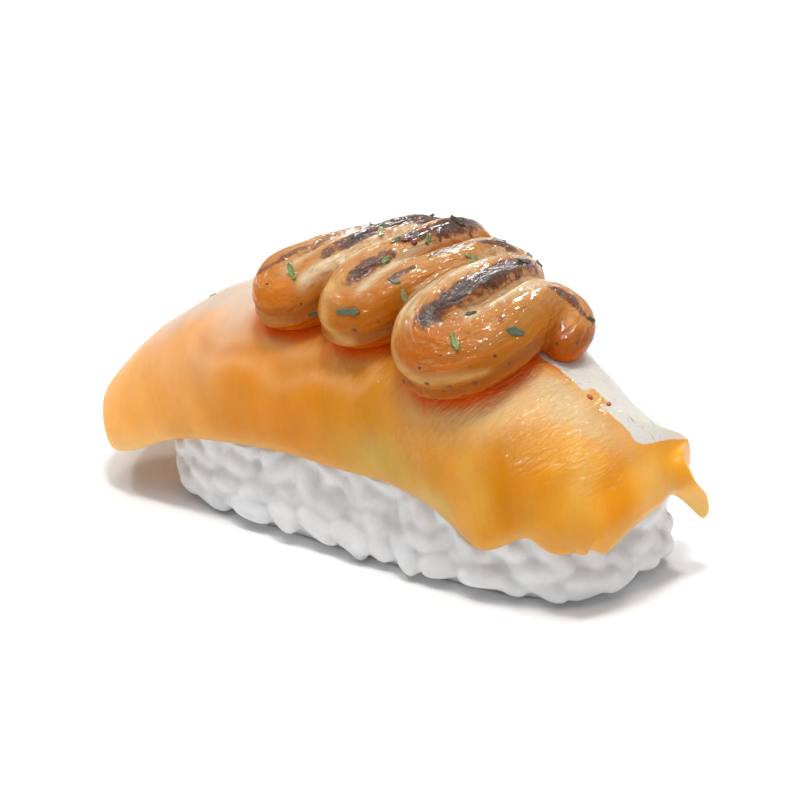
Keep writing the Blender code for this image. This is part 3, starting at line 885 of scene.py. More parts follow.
@dataclass
class RiceBlock:
    """The pressed rice: its own core, and grains of real size all over what the slice leaves bare."""

    drape: Drape
    finish: RiceFinish = RiceFinish()
    left: float = -35.0
    right: float = 30.0
    across: float = 16.5
    corner_power: float = 4.0
    foot_length: float = 61.0
    foot_middle: float = -0.75
    foot_width: float = 27.0
    foot_power: float = 3.2
    foot_rounding: float = 2.2
    waist: float = 0.6
    grain_length: float = 6.2
    grain_width: float = 3.0
    grain_depth: float = 2.4
    # Each layer: the room round a grain as a share of its own size, its depth on the core in mm, and its tilt.
    layers: tuple[tuple[float, float, float], ...] = ((0.66, -0.40, 0.06), (0.80, 0.12, 0.10))
    side_levels: tuple[float, ...] = (0.2, 0.4, 0.6, 0.8, 0.94, 1)
    slant: float = -0.65
    slant_spread: float = 0.75
    cover: float = 3.5
    contact: float = 0.08
    tries: int = 9000
    skin: float = 0.30
    seed: int = 11

    def rounded(self, a: float, b: float, power: float) -> tuple[float, float]:
        """Pulls a place in the square in to one with rounded corners."""
        reach, round_reach = max(abs(a), abs(b)), (abs(a) ** power + abs(b) ** power) ** (1 / power)
        return (a * reach / round_reach, b * reach / round_reach) if round_reach else (0.0, 0.0)

    def foot_point(self, a: float, b: float, inset: float) -> Vector:
        """A point on the outline of the foot, moved in by inset, in mm."""
        a, b = self.rounded(a, b, self.foot_power)
        return Vector(
            (self.foot_middle + a * (self.foot_length / 2 - inset), b * (self.foot_width / 2 - inset), 0)
        )

    def side_point(self, top: Vector, a: float, b: float, level: float) -> Vector:
        """A point on the side of the core, level 0 at the rim and 1 where the flat foot begins."""
        if level >= 1:
            return self.foot_point(a, b, self.foot_rounding)
        low = self.foot_point(a, b, 0)
        point = top.lerp(low, level**2)
        point.z = top.z + (self.foot_rounding * 0.6 - top.z) * level
        return point - Vector((low.x, low.y, 0)).normalized() * self.waist * math.sin(math.pi * level)

    def core(self) -> bpy.types.Mesh:
        """The core: a rounded grid under the slice, with sides drawn down to a flat foot, in mm."""
        bm = bmesh.new()
        bmesh.ops.create_grid(bm, x_segments=24, y_segments=14, size=1)
        rim = [edge for edge in bm.edges if edge.is_boundary]
        spot = {vert: (vert.co.x, vert.co.y) for vert in bm.verts}
        for vert, (a, b) in spot.items():
            a, b = self.rounded(a, b, self.corner_power)
            along = np.array([self.left + (self.right - self.left) * (a + 1) / 2])
            vert.co = Vector(self.drape.underside(along, np.array([b * self.across]))[0])
        tops = {spot[vert]: vert.co.copy() for edge in rim for vert in edge.verts}
        where = {vert: spot[vert] for edge in rim for vert in edge.verts}
        for level in self.side_levels:
            before = {tuple(vert.co): place for vert, place in where.items()}
            pulled = bmesh.ops.extrude_edge_only(bm, edges=rim)["geom"]
            rim = [item for item in pulled if isinstance(item, bmesh.types.BMEdge)]
            where = {vert: before[tuple(vert.co)] for edge in rim for vert in edge.verts}
            for vert, place in where.items():
                vert.co = self.side_point(tops[place], *place, level)
        bmesh.ops.contextual_create(bm, geom=rim)
        bmesh.ops.recalc_face_normals(bm, faces=bm.faces)
        # The faces are sorted by place, so that the grains fall the same way each time.
        bm.faces.sort(key=lambda face: face.calc_center_median().dot((0.618, 0.414, 1)))
        mesh = bpy.data.meshes.new("rice_core")
        bm.to_mesh(mesh)
        bm.free()
        return mesh

    def grain(self) -> bpy.types.Mesh:
        """One grain, 1 long, wide and deep: plump, with blunt ends and a slight bend."""
        bm = bmesh.new()
        bmesh.ops.create_uvsphere(
            bm, u_segments=12, v_segments=9, radius=1, matrix=Matrix.Rotation(math.pi / 2, 4, "Y")
        )
        for vert in bm.verts:
            x = min(1, abs(vert.co.x))
            ring = math.sqrt(max(1e-6, 1 - x * x))
            fuller = math.sqrt(max(0.0, 1 - x**3.2)) / ring if x < 0.999 else 1
            taper = 1 - 0.07 * vert.co.x
            vert.co.y *= fuller * taper
            vert.co.z = vert.co.z * fuller * taper + 0.14 * (0.5 - vert.co.x**2)
            vert.co *= 0.5
        mesh = bpy.data.meshes.new("rice_grain")
        bm.to_mesh(mesh)
        bm.free()
        return mesh

    def turn(self, point: Vector, outward: Vector, tilt: float, chance: random.Random) -> Matrix:
        """Lays a grain flat against the core at a random slant, and nearly level low down."""
        slant = Matrix.Rotation(
            chance.gauss(self.slant, self.slant_spread) * min(1, 0.1 + point.z / 8), 3, outward
        )
        level = Vector((0, 0, 1)).cross(outward).normalized()
        long_side = (slant @ level + outward * chance.gauss(0, tilt)).normalized()
        depth_side = (outward - long_side * outward.dot(long_side)).normalized()
        return Matrix((long_side, depth_side.cross(long_side), depth_side)).transposed()

    def bare(self, point: Vector, sheet: "UnderSheet") -> bool:
        """Whether a place on the core is outside the slice, or only just under its hem."""
        spot, _, face, distance = sheet.tree.find_nearest(point)
        return spot is None or distance > self.cover or sheet.inward[face] < self.cover

    def scatter(self, bm: bmesh.types.BMesh, core: bpy.types.Mesh, sheet: "UnderSheet") -> int:
        """Lays the grains on the core in layers.

        Args:
            bm: The mesh that gets them, in mm.
            core: The core's mesh.
            sheet: The underside of the slice.

        Returns:
            How many grains there are.
        """
        chance = random.Random(self.seed)
        faces = [face for face in core.polygons if face.normal.z > -0.5]
        areas = [face.area for face in faces]
        grain = self.grain()
        share = Matrix.Diagonal((1 / self.grain_length, 1 / self.grain_width, 1 / self.grain_width))
        count = 0
        for spacing, depth, tilt in self.layers:
            taken: list[Vector] = []
            for face in chance.choices(faces, areas, k=self.tries):
                corners = [core.vertices[index].co for index in face.vertices]
                weights = [chance.random() for _ in corners]
                point = sum((c * w for c, w in zip(corners, weights)), Vector()) / sum(weights)
                turned = self.turn(point, face.normal, tilt, chance)
                room = share @ turned.transposed()
                if any((room @ (point - other)).length < spacing for other in taken) or not self.bare(
                    point, sheet
                ):
                    continue
                taken.append(point)
                longer, wider = 1 + chance.gauss(0, 0.12), 1 + chance.gauss(0, 0.07)
                size = (self.grain_length * longer, self.grain_width * wider, self.grain_depth, 1)
                centre = point + face.normal * (depth + chance.uniform(-0.25, 0.25))
                stamp(bm, grain, Matrix.Translation(centre) @ turned.to_4x4() @ Matrix.Diagonal(size))
                count += 1
        return count

    def press(self, mesh: bpy.types.Mesh, sheet: "UnderSheet") -> None:
        """Presses what stands through the slice back under it, and flattens the foot on the table."""
        points = places(mesh) / MM
        for index, row in enumerate(points.tolist()):
            point = Vector(row)
            spot, normal, face, _ = sheet.tree.find_nearest(point, 4.0)
            if spot is None or sheet.inward[face] < 0.25:
                continue
            if (point - spot).dot(normal) > -self.contact:
                points[index] = spot - normal * self.contact
        points[:, 2] = np.maximum(points[:, 2], 0)
        mesh.vertices.foreach_set("co", (points * MM).astype(np.float32).ravel())
        mesh.update()

    def build(self) -> bpy.types.Object:
        """Builds core and grains as one sticky heap.

        Returns:
            The rice.
        """
        sheet = UnderSheet(self.drape)
        core = self.core()
        bm = bmesh.new()
        bm.from_mesh(core)
        count = self.scatter(bm, core, sheet)
        bmesh.ops.scale(bm, vec=(MM, MM, MM), verts=bm.verts)
        mesh = bpy.data.meshes.new("rice_grains")
        bm.to_mesh(mesh)
        bm.free()
        rice = link_object("rice_grains", mesh)
        merge_skins(rice, self.skin, 4)
        self.press(rice.data, sheet)
        rice.data.shade_smooth()
        log.info("rice: %d grains", count)
        return rice

    def dress(self, rice: bpy.types.Object) -> None:
        """Gives the rice its finish, its body and the node that it stands for."""
        rice.data.materials.append(self.finish.material())
        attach(rice, BODY)
        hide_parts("rice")


class UnderSheet:
    """The underside of the slice as a search tree in mm, with how far each face lies inside the rim."""

    def __init__(self, drape: Drape) -> None:
        """Lays a coarse sheet on the drape.

        Args:
            drape: How the slice lies.
        """
        bm = bmesh.new()
        bmesh.ops.create_grid(bm, x_segments=90, y_segments=44, size=1)
        spots = np.array([vert.co.to_tuple()[:2] for vert in bm.verts])
        along, across = drape.place(spots[:, 0], spots[:, 1])
        for vert, row in zip(bm.verts, drape.lifted(along, across, drape.gap)):
            vert.co = Vector(row)
        bm.faces.ensure_lookup_table()
        bm.verts.index_update()
        inward = drape.inward(along, across)
        self.inward = [float(np.mean([inward[vert.index] for vert in face.verts])) for face in bm.faces]
        self.tree = BVHTree.FromBMesh(bm)
        bm.free()


@dataclass
class PipedSauce:
    """The sauce: one rope piped in six strokes, slumped together, torched on its crests.

    Each rope row is (along, across, height of the crest, half width). Folds, burnt bands and cream lines are
    paths in lengths along and across: a fold has a rise and a half width, the others a half width and a
    strength. The lips' paths also have a height, because they run round the front turns.
    """

    drape: Drape
    finish: SauceFinish = SauceFinish()
    rope: tuple[tuple[float, float, float, float], ...] = (
        (-10.9, 4.2, 5.2, 2.3), (-10.7, 1.5, 6.2, 2.8), (-11.2, -1.5, 6.5, 3.0), (-12.8, -4.0, 6.5, 3.1),
        (-14.4, -5.4, 6.3, 3.2), (-13.4, -6.3, 6.2, 3.1), (-10.9, -5.8, 6.5, 3.0), (-8.2, -4.0, 7.2, 2.9),
        (-6.6, -1.5, 7.5, 2.8), (-6.0, 2.0, 7.8, 2.8), (-5.4, 5.0, 7.4, 2.8), (-3.9, 6.4, 7.3, 2.8),
        (-2.4, 5.6, 8.0, 2.8), (-2.3, 1.5, 8.0, 2.8), (-2.5, -2.0, 7.6, 2.9), (-4.1, -5.0, 7.2, 3.0),
        (-4.4, -6.4, 6.8, 3.0), (-2.4, -6.6, 6.6, 3.0), (0.2, -5.6, 7.0, 3.0), (2.6, -3.6, 7.4, 2.8),
        (3.8, -0.8, 7.6, 2.8), (4.0, 1.8, 7.6, 2.8), (4.8, 3.4, 6.9, 2.6), (6.2, 3.6, 6.3, 2.5),
        (7.6, 2.2, 6.5, 2.6), (8.2, 0.2, 7.0, 2.7), (8.0, -2.6, 7.6, 3.0), (7.0, -5.6, 7.4, 3.2),
        (6.6, -7.2, 7.0, 3.2), (8.8, -8.1, 6.5, 3.2), (11.2, -7.6, 6.5, 3.2), (12.5, -5.6, 6.9, 3.0),
        (12.7, -2.8, 6.8, 2.6), (12.4, -0.4, 6.2, 2.4), (12.9, 1.4, 5.7, 2.2), (14.2, 1.8, 5.3, 2.1),
        (15.3, 1.2, 4.7, 2.0), (15.7, 0.0, 3.6, 2.0),
    )
    bead_middle: float = 0.4
    bead_step: float = 0.35
    fullness: float = 2.35
    skin: float = 0.22
    bed: float = 5.0
    sunk: float = -0.25
    # Each bulge or hollow round the front turns: how far it stands out, its height and its half width, in mm.
    slump: tuple[tuple[float, float, float], ...] = ((0.22, 2.3, 0.6), (-0.12, 3.4, 0.6), (-0.14, 1.3, 0.5))
    folds: tuple[tuple[tuple[tuple[float, float], ...], float, float], ...] = (
        (((9.4, -6.4), (9.8, -3.2), (10.1, -0.8), (10.0, 2.0)), 0.45, 0.5),
        (((11.6, -6.0), (11.7, -3.5), (11.3, -1.0), (10.6, 1.6)), 0.40, 0.5),
        (((-8.3, -6.2), (-6.4, -4.2), (-5.3, -2.0), (-4.6, 1.5)), 0.30, 0.5),
        (((1.6, -7.0), (3.6, -5.4), (5.2, -3.2), (5.6, -0.6)), 0.30, 0.5),
    )
    burnt: tuple[tuple[tuple[tuple[float, float], ...], float, float], ...] = (
        (((-15.4, -6.6), (-14.0, -5.4), (-12.6, -4.0)), 0.50, 0.55),
        (((-12.0, -3.5), (-11.6, -2.0), (-11.4, 0.0), (-11.2, 3.4)), 0.70, 0.55),
        (
            ((-8.4, -4.6), (-7.5, -3.7), (-7.0, -2.6), (-6.4, -1.0), (-5.7, 1.0), (-5.2, 2.6), (-5.4, 4.6)),
            0.90,
            1.0,
        ),
        (((-3.2, -6.0), (-2.6, -4.9), (-1.9, -3.9)), 0.85, 0.78),
        (((-2.1, -1.7), (-1.3, -0.4), (-1.1, 1.6), (-0.9, 3.6), (-1.9, 5.6)), 0.92, 0.95),
        (((1.4, -5.9), (2.4, -4.7)), 0.45, 0.70),
        (((2.9, -2.9), (3.5, -1.1), (4.6, 0.4), (4.9, 1.8), (5.8, 3.0)), 0.60, 0.75),
        (((7.5, -7.3), (8.0, -6.4), (8.4, -5.4), (9.0, -3.7), (9.3, -1.3), (9.0, 1.5)), 1.02, 1.1),
        (((12.8, -5.2), (13.4, -3.6)), 0.55, 0.40),
        (((13.0, 0.2), (14.0, 1.3), (15.4, 1.3)), 0.60, 0.60),
    )
    cream: tuple[tuple[tuple[tuple[float, float], ...], float, float], ...] = (
        (((-9.2, -6.9), (-7.7, -5.7), (-5.6, -4.2), (-5.0, -2.2), (-4.6, -0.4), (-4.0, 3.0)), 0.75, 1.0),
        (((-1.2, -6.6), (-0.6, -4.6), (-0.3, -2.6), (0.1, 0.2), (-0.1, 4.0)), 0.80, 1.0),
        (((4.4, -7.4), (4.9, -6.0), (6.0, -4.6), (6.7, -3.1), (6.6, -0.8), (6.2, 1.4)), 0.85, 1.0),
        (((9.9, -6.0), (10.2, -3.4), (10.4, -0.8), (10.2, 2.0)), 0.45, 0.6),
        (((10.8, -6.0), (11.5, -4.4), (11.7, -2.2), (11.9, -0.2), (11.4, 1.6)), 0.55, 0.95),
        (((-12.2, -6.0), (-10.4, -3.6), (-9.4, -1.0), (-9.2, 2.4)), 0.80, 0.6),
        (((4.0, -6.6), (5.2, -6.9), (6.2, -8.0)), 0.60, 0.55),
    )
    lips: tuple[tuple[tuple[tuple[float, float, float], ...], float, float], ...] = (
        (((-16.2, -8.2, 4.0), (-15.6, -8.7, 2.7), (-13.0, -9.3, 2.9), (-10.8, -8.9, 2.5)), 0.5, 0.3),
        (
            (
                (-4.8, -6.8, 6.8), (-5.0, -7.7, 6.4), (-4.5, -8.7, 5.6), (-4.0, -9.4, 4.3), (-3.0, -9.7, 3.2),
                (-1.6, -9.5, 2.7),
            ),
            0.75,
            0.75,
        ),
        (
            (
                (5.4, -7.6, 6.9), (5.1, -8.4, 6.3), (5.2, -9.6, 5.2), (6.5, -10.6, 4.7), (8.8, -10.9, 4.8),
                (11.3, -10.5, 4.9), (13.2, -9.7, 4.7), (14.6, -8.4, 4.1),
            ),
            0.50,
            0.85,
        ),
    )
    patches: tuple[Patch, ...] = (
        Patch("#C87000", (-12.2, -8.2, 5.0), (4.8, 3.0, 2.6), 0.95),
        Patch("#BC6800", (0.2, -8.2, 5.2), (3.8, 3.0, 2.6), 0.95),
        Patch("#B45E00", (10.6, -9.4, 6.0), (5.6, 3.2, 1.8), 1.0),
        Patch("#B4701C", (-6.9, -3.6, 7.0), (1.6, 3.0, 1.5), 0.6),
        Patch("#B8741E", (11.4, -5.6, 6.6), (3.0, 3.4, 1.9), 0.6),
        Patch("#D05C00", (15.4, -1.6, 2.6), (2.0, 2.2, 2.0), 0.95),
        Patch("#C48440", (15.2, 0.4, 4.9), (2.0, 1.6, 1.3), 0.8),
    )

    def beads(self) -> list[tuple[float, float, float, float]]:
        """The rope's middle line as evenly spaced beads: along, across, height and half width."""
        rows = np.array(self.rope)
        steps = np.hypot(np.diff(rows[:, 0]), np.diff(rows[:, 1]))
        distances = np.concatenate([[0], np.cumsum(steps)])
        where = np.linspace(0, distances[-1], math.ceil(distances[-1] / self.bead_step) + 1)
        columns = [Curve(tuple(zip(distances.tolist(), column.tolist()))).at(where) for column in rows.T]
        return list(zip(*(column.tolist() for column in columns)))

    def bead(self) -> bpy.types.Mesh:
        """One bead of sauce, 1 across: a ball with a slightly flattened top."""
        bm = bmesh.new()
        bmesh.ops.create_uvsphere(bm, u_segments=20, v_segments=14, radius=0.5)
        for vert in bm.verts:
            out, up = 2 * math.hypot(vert.co.x, vert.co.y), 2 * abs(vert.co.z)
            vert.co /= (out**self.fullness + up**self.fullness) ** (1 / self.fullness)
        mesh = bpy.data.meshes.new("sauce_bead")
        bm.to_mesh(mesh)
        bm.free()
        return mesh

    def build(self) -> bpy.types.Object:
        """Pipes the rope flat, merges its strokes, then lays it over the slice.

        Returns:
            The sauce.
        """
        bm, bead = bmesh.new(), self.bead()
        for along, across, height, half_width in self.beads():
            # A bead starts at the slice; what would lie under it is cut off when the sauce is laid down.
            centre = Matrix.Translation(Vector((along, across, height * self.bead_middle + self.bed)) * MM)
            size = Matrix.Diagonal(
                (half_width * 2 * MM, half_width * 2 * MM, height * (1 - self.bead_middle) * 2 * MM, 1)
            )
            stamp(bm, bead, centre @ size)
        mesh = bpy.data.meshes.new("piped_sauce")
        bm.to_mesh(mesh)
        bm.free()
        sauce = link_object("piped_sauce", mesh)
        merge_skins(sauce, self.skin, 3)
        self.lay_down(sauce.data)
        sauce.data.shade_smooth()
        return sauce

    def lay_down(self, mesh: bpy.types.Mesh) -> None:
        """Adds folds and crust to the flat rope, colours it and wraps it over the slice."""
        flat, up = places(mesh) / MM - np.array((0, 0, self.bed)), places(mesh, "normal")[:, 2]
        upward = smooth(up, 0.2, 0.7)
        top = flat[:, :2]
        burn = self.traced(top, self.burnt, 2.4) * smooth(up, 0.05, 0.5) * (
            0.92 + 0.55 * rough_field(flat, 2.2, 25)
        )
        creamy = self.traced(top, self.cream) * upward
        store(mesh, "tint", self.colours(flat, up, creamy))
        store(mesh, "burn", burn)
        wet = smooth(up, 0.4, 0.8) + 0.6 * rough_field(flat, 2.5, 27) * smooth(up, 0.1, 0.5)
        store(mesh, "wet", np.clip(wet, 0, 1))
        lay = self.strokes(top)
        lay[:, 2] = flat[:, 2]
        store(mesh, "lay", lay)
        drawn = lay * np.array((0.13, 1.0, 0.5))
        height = flat[:, 2].copy()
        height += (0.36 * rough_field(drawn, 1.4, 23) + 0.05 * rough_field(drawn, 0.6, 24)) * upward
        for path, rise, width in self.folds:
            height += rise * np.exp(-((path_distance(top, np.array(path)) / width) ** 2)) * upward
        height += 0.16 * rough_field(flat, 1.3, 21) * upward * np.clip(burn, 0, 1)
        height += 0.22 * rough_field(flat, 3.6, 22) * smooth(flat[:, 2], 1.0, 4.0)
        # The front turns slumped a little: a soft lip stands out round them, over a narrower foot.
        rise = flat[:, 2] + 0.5 * rough_field(flat, 3.0, 26)
        lip = sum(out * np.exp(-(((rise - level) / width) ** 2)) for out, level, width in self.slump)
        lip *= smooth(flat[:, 1], -1.5, -4.0) * smooth(np.abs(up), 0.9, 0.6)
        flat[:, :2] += places(mesh, "normal")[:, :2] * lip[:, None]
        points = self.drape.on_top(flat[:, 0], flat[:, 1], np.maximum(height, self.sunk))
        mesh.vertices.foreach_set("co", (points * MM).astype(np.float32).ravel())
        mesh.update()

    def traced(self, points: Array, marks: tuple, power: float = 2.0) -> Array:
        """How much of a kind of mark is at each point.

        Args:
            points: Places, with as many columns as the marks' paths.
            marks: Each mark's path, half width and strength.
            power: How sharply a mark ends at its half width.

        Returns:
            One share for each point.
        """
        share = np.zeros(len(points))
        for path, width, strength in marks:
            share = np.maximum(
                share, strength * np.exp(-((path_distance(points, np.array(path)) / width) ** power))
            )
        return share

    def strokes(self, top: Array) -> Array:
        """Where each point lies on the rope.

        Args:
            top: Lengths along and across of each point.

        Returns:
            Each point's length along the rope and distance to the side of it in mm, and a free third column.
        """
        line = np.array(self.beads())[:, :2]
        ahead = np.gradient(line, axis=0)
        ahead /= np.linalg.norm(ahead, axis=1)[:, None]
        tree = KDTree(len(line))
        for index, (x, y) in enumerate(line.tolist()):
            tree.insert((x, y, 0), index)
        tree.balance()
        nearest = np.array([tree.find((x, y, 0))[1] for x, y in top.tolist()])
        off = top - line[nearest]
        side = ahead[nearest, 0] * off[:, 1] - ahead[nearest, 1] * off[:, 0]
        return np.stack([nearest * self.bead_step, side, np.zeros(len(top))], 1)

    def colours(self, flat: Array, up: Array, creamy: Array) -> Array:
        """The sauce's colour before the torch marks: amber turns, tan tops, cream lines and lips, an oily foot.

        Args:
            flat: Each vertex's place before the sauce is wrapped over the slice.
            up: How far each vertex faces up.
            creamy: How much of a cream line is at each vertex.

        Returns:
            One linear colour for each vertex.
        """
        base = np.tile(np.array(linear("#B46A14")), (len(flat), 1))
        warp = flat + np.stack([0.8 * rough_field(flat, 3.0, i) for i in (31, 32, 33)], 1)
        layers = [("#B98444", 0.85 * smooth(up, 0.55, 0.92))]
        layers += [(patch.colour, patch.mask(warp)) for patch in self.patches]
        layers.append(("#A05418", 0.8 * smooth(warp[:, 2], 4.4, 3.6)))
        layers.append(("#AC5A10", 0.9 * smooth(warp[:, 2], 3.3, 2.3)))
        layers.append(("#CBA05A", self.traced(0.7 * flat + 0.3 * warp, self.lips)))
        layers.append(("#D4BC96", creamy))
        layers.append(("#C05400", 0.9 * smooth(warp[:, 2], 2.0, 0.8)))
        return tinted(base, layers)

    def dress(self, sauce: bpy.types.Object) -> None:
        """Gives the sauce its finish, its body and the node that it stands for."""
        sauce.data.materials.append(self.finish.material())
        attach(sauce, BODY)
        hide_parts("sauce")


class Leaf(Enum):
    """The colours of the herb flakes."""

    BRIGHT = "#6C7E30"
    LIGHT = "#8B9762"
    DARK = "#363D1C"
    GREY = "#5A614B"


@dataclass
class HerbFlakes:
    """Dried herb leaves stuck to the sauce, and one on the slice: thin, crooked and curled."""

    drape: Drape
    finish: FleckFinish = FleckFinish("dried_herb", 0.5)
    flakes: tuple[tuple[float, float, float, float, float, float, Leaf], ...] = (
        (-11.4, -6.6, 6.2, 60, 3.2, 0.9, Leaf.BRIGHT), (-5.7, -1.4, 7.2, 10, 2.0, 0.9, Leaf.LIGHT),
        (-2.6, -2.2, 7.5, 40, 1.6, 0.8, Leaf.DARK), (-1.5, -4.1, 6.8, 120, 1.3, 0.7, Leaf.BRIGHT),
        (1.8, -5.9, 6.7, 80, 1.5, 0.7, Leaf.GREY), (-1.5, -8.4, 5.6, 100, 2.8, 1.0, Leaf.GREY),
        (3.0, -6.2, 5.7, 10, 1.6, 0.7, Leaf.LIGHT), (-8.1, -7.7, 2.4, 100, 2.2, 0.6, Leaf.DARK),
        (-1.5, 3.4, 7.7, 20, 1.9, 1.0, Leaf.DARK), (-0.6, -0.5, 6.8, 130, 1.4, 0.7, Leaf.BRIGHT),
        (5.4, -1.4, 6.8, 60, 1.6, 0.6, Leaf.LIGHT), (9.0, 1.0, 6.8, 30, 1.7, 0.9, Leaf.DARK),
        (6.9, 4.0, 6.0, 80, 1.4, 0.8, Leaf.GREY), (11.4, -8.2, 6.5, 30, 2.2, 0.9, Leaf.BRIGHT),
        (10.2, -5.9, 6.4, 140, 1.8, 0.8, Leaf.DARK), (14.4, -5.3, 6.0, 70, 2.2, 1.0, Leaf.GREY),
        (10.8, -2.9, 6.2, 20, 1.4, 0.7, Leaf.LIGHT), (16.2, 1.6, 4.3, 50, 1.3, 0.7, Leaf.DARK),
        (-29.4, -2.6, 0.2, 30, 1.6, 0.6, Leaf.BRIGHT), (-10.9, 2.2, 6.2, 110, 1.6, 0.8, Leaf.GREY),
        (-3.9, 8.2, 4.6, 60, 1.7, 0.8, Leaf.DARK), (-6.4, 4.4, 7.4, 20, 1.4, 0.7, Leaf.BRIGHT),
        (3.9, 3.4, 6.8, 140, 1.5, 0.8, Leaf.LIGHT), (8.4, 3.6, 5.6, 40, 1.3, 0.7, Leaf.GREY),
    )
    thickness: float = 0.14

    def build(self, sauce: BVHTree) -> bpy.types.Object:
        """Cuts each flake and presses it on to the sauce.

        Args:
            sauce: The surface that the flakes lie on, sauce and slice together.

        Returns:
            The flakes as one piece.
        """
        chance = random.Random(5)
        bm = bmesh.new()
        tint = bm.verts.layers.float_color.new("tint")
        for along, across, height, turn, length, width, leaf in self.flakes:
            spot = Vector(self.drape.on_top(np.array([along]), np.array([across]), height)[0]) * MM
            foot, normal, _, _ = sauce.find_nearest(spot)
            first = len(bm.verts)
            bmesh.ops.create_grid(bm, x_segments=8, y_segments=4, size=0.5)
            bm.verts.ensure_lookup_table()
            fresh = bm.verts[first:]
            curl, twist, lean = chance.uniform(0.15, 0.5), chance.uniform(-0.5, 0.5), chance.uniform(
                -0.25, 0.25
            )
            for vert in fresh:
                x, y = vert.co.x, vert.co.y
                slim = (1 - abs(2 * x) ** 1.7) * 0.75 + 0.07 + 0.6 * noise.noise(Vector((x * 8, y * 4, along)))
                rise = curl * x * x * 1.6 + 0.5 * y * y + twist * x * y + lean * x * 0.3
                side = y * width * slim + 0.12 * length * x * x * twist
                vert.co = Vector((x * length, side, rise * width * 0.6 + 0.04)) * MM
                vert[tint] = linear(leaf.value)
            frame_turn = normal.to_track_quat("Z", "X").to_matrix() @ Matrix.Rotation(
                math.radians(turn), 3, "Z"
            )
            bmesh.ops.transform(bm, matrix=Matrix.Translation(foot) @ frame_turn.to_4x4(), verts=fresh)
        bmesh.ops.solidify(bm, geom=bm.faces[:], thickness=self.thickness * MM)
        bmesh.ops.recalc_face_normals(bm, faces=bm.faces)
        mesh = bpy.data.meshes.new("herb_flakes")
        bm.to_mesh(mesh)
        bm.free()
        mesh.shade_smooth()
        return link_object("herb_flakes", mesh)

    def dress(self, flakes: bpy.types.Object) -> None:
        """Gives the flakes their finish and their body."""
        flakes.data.materials.append(self.finish.material())
        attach(flakes, BODY)


@dataclass
class ChiliSpecks:
    """Ground chili and pepper on the sauce and the slice: small crooked grains."""

    drape: Drape
    finish: FleckFinish = FleckFinish("ground_chili", 0.35)
    specks: tuple[tuple[float, float, float, float, str], ...] = (
        (-0.9, -8.9, 4.1, 0.55, "#7A3410"), (9.6, -10.4, 5.9, 0.35, "#5A2A10"),
        (10.8, -11.3, 4.9, 0.45, "#6A3010"),
        (13.2, -10.7, 4.2, 0.5, "#8A2E10"), (14.7, -9.2, 3.4, 0.4, "#6A3010"),
        (15.6, -6.5, 3.6, 0.4, "#8A3812"),
        (17.1, -0.5, 2.8, 0.45, "#7A3010"), (-1.6, -1.9, 7.4, 0.95, "#5E1A10"),
        (-0.8, -1.7, 7.2, 0.8, "#702014"),
        (21.6, -2.1, 0.1, 0.6, "#A83C14"), (23.2, -1.0, 0.1, 0.6, "#B0441A"), (14.9, -3.0, 0.2, 0.3, "#8A3010"),
        (-13.6, -7.6, 4.6, 0.35, "#6A3A1A"), (-9.4, -8.0, 4.2, 0.3, "#6A3A1A"),
        (4.0, -9.6, 3.4, 0.4, "#7A4A20"),
        (7.2, -11.2, 3.0, 0.45, "#74381A"), (11.6, -11.9, 1.6, 0.5, "#7A3C18"),
        (6.0, -11.5, 1.4, 0.45, "#8A3A14"),
        (-4.6, 6.6, 6.4, 0.5, "#7A3410"), (2.2, 4.6, 6.0, 0.4, "#5A2A10"), (-12.2, 4.8, 3.6, 0.45, "#7A3410"),
    )

    def build(self, sauce: BVHTree) -> bpy.types.Object:
        """Sets each speck on the surface under it.

        Args:
            sauce: The surface that the specks lie on.

        Returns:
            The specks as one piece.
        """
        bm = bmesh.new()
        tint = bm.verts.layers.float_color.new("tint")
        for along, across, height, size, colour in self.specks:
            spot = Vector(self.drape.on_top(np.array([along]), np.array([across]), height)[0]) * MM
            foot, normal, _, _ = sauce.find_nearest(spot)
            first = len(bm.verts)
            bmesh.ops.create_icosphere(bm, subdivisions=2, radius=0.5)
            bm.verts.ensure_lookup_table()
            fresh = bm.verts[first:]
            for vert in fresh:
                vert.co *= 1 + 0.35 * noise.noise(vert.co * 3 + Vector((along, across, 0)))
                vert.co = Vector((vert.co.x * 1.25, vert.co.y, vert.co.z * 0.55)) * size * MM
                vert[tint] = linear(colour)
            turn = normal.to_track_quat("Z", "X").to_matrix() @ Matrix.Rotation(along, 3, "Z")
            bmesh.ops.transform(bm, matrix=Matrix.Translation(foot) @ turn.to_4x4(), verts=fresh)
        mesh = bpy.data.meshes.new("chili_specks")
        bm.to_mesh(mesh)
        bm.free()
        mesh.shade_smooth()
        return link_object("chili_specks", mesh)

    def dress(self, specks: bpy.types.Object) -> None:
        """Gives the specks their finish and their body."""
        specks.data.materials.append(self.finish.material())
        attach(specks, BODY)


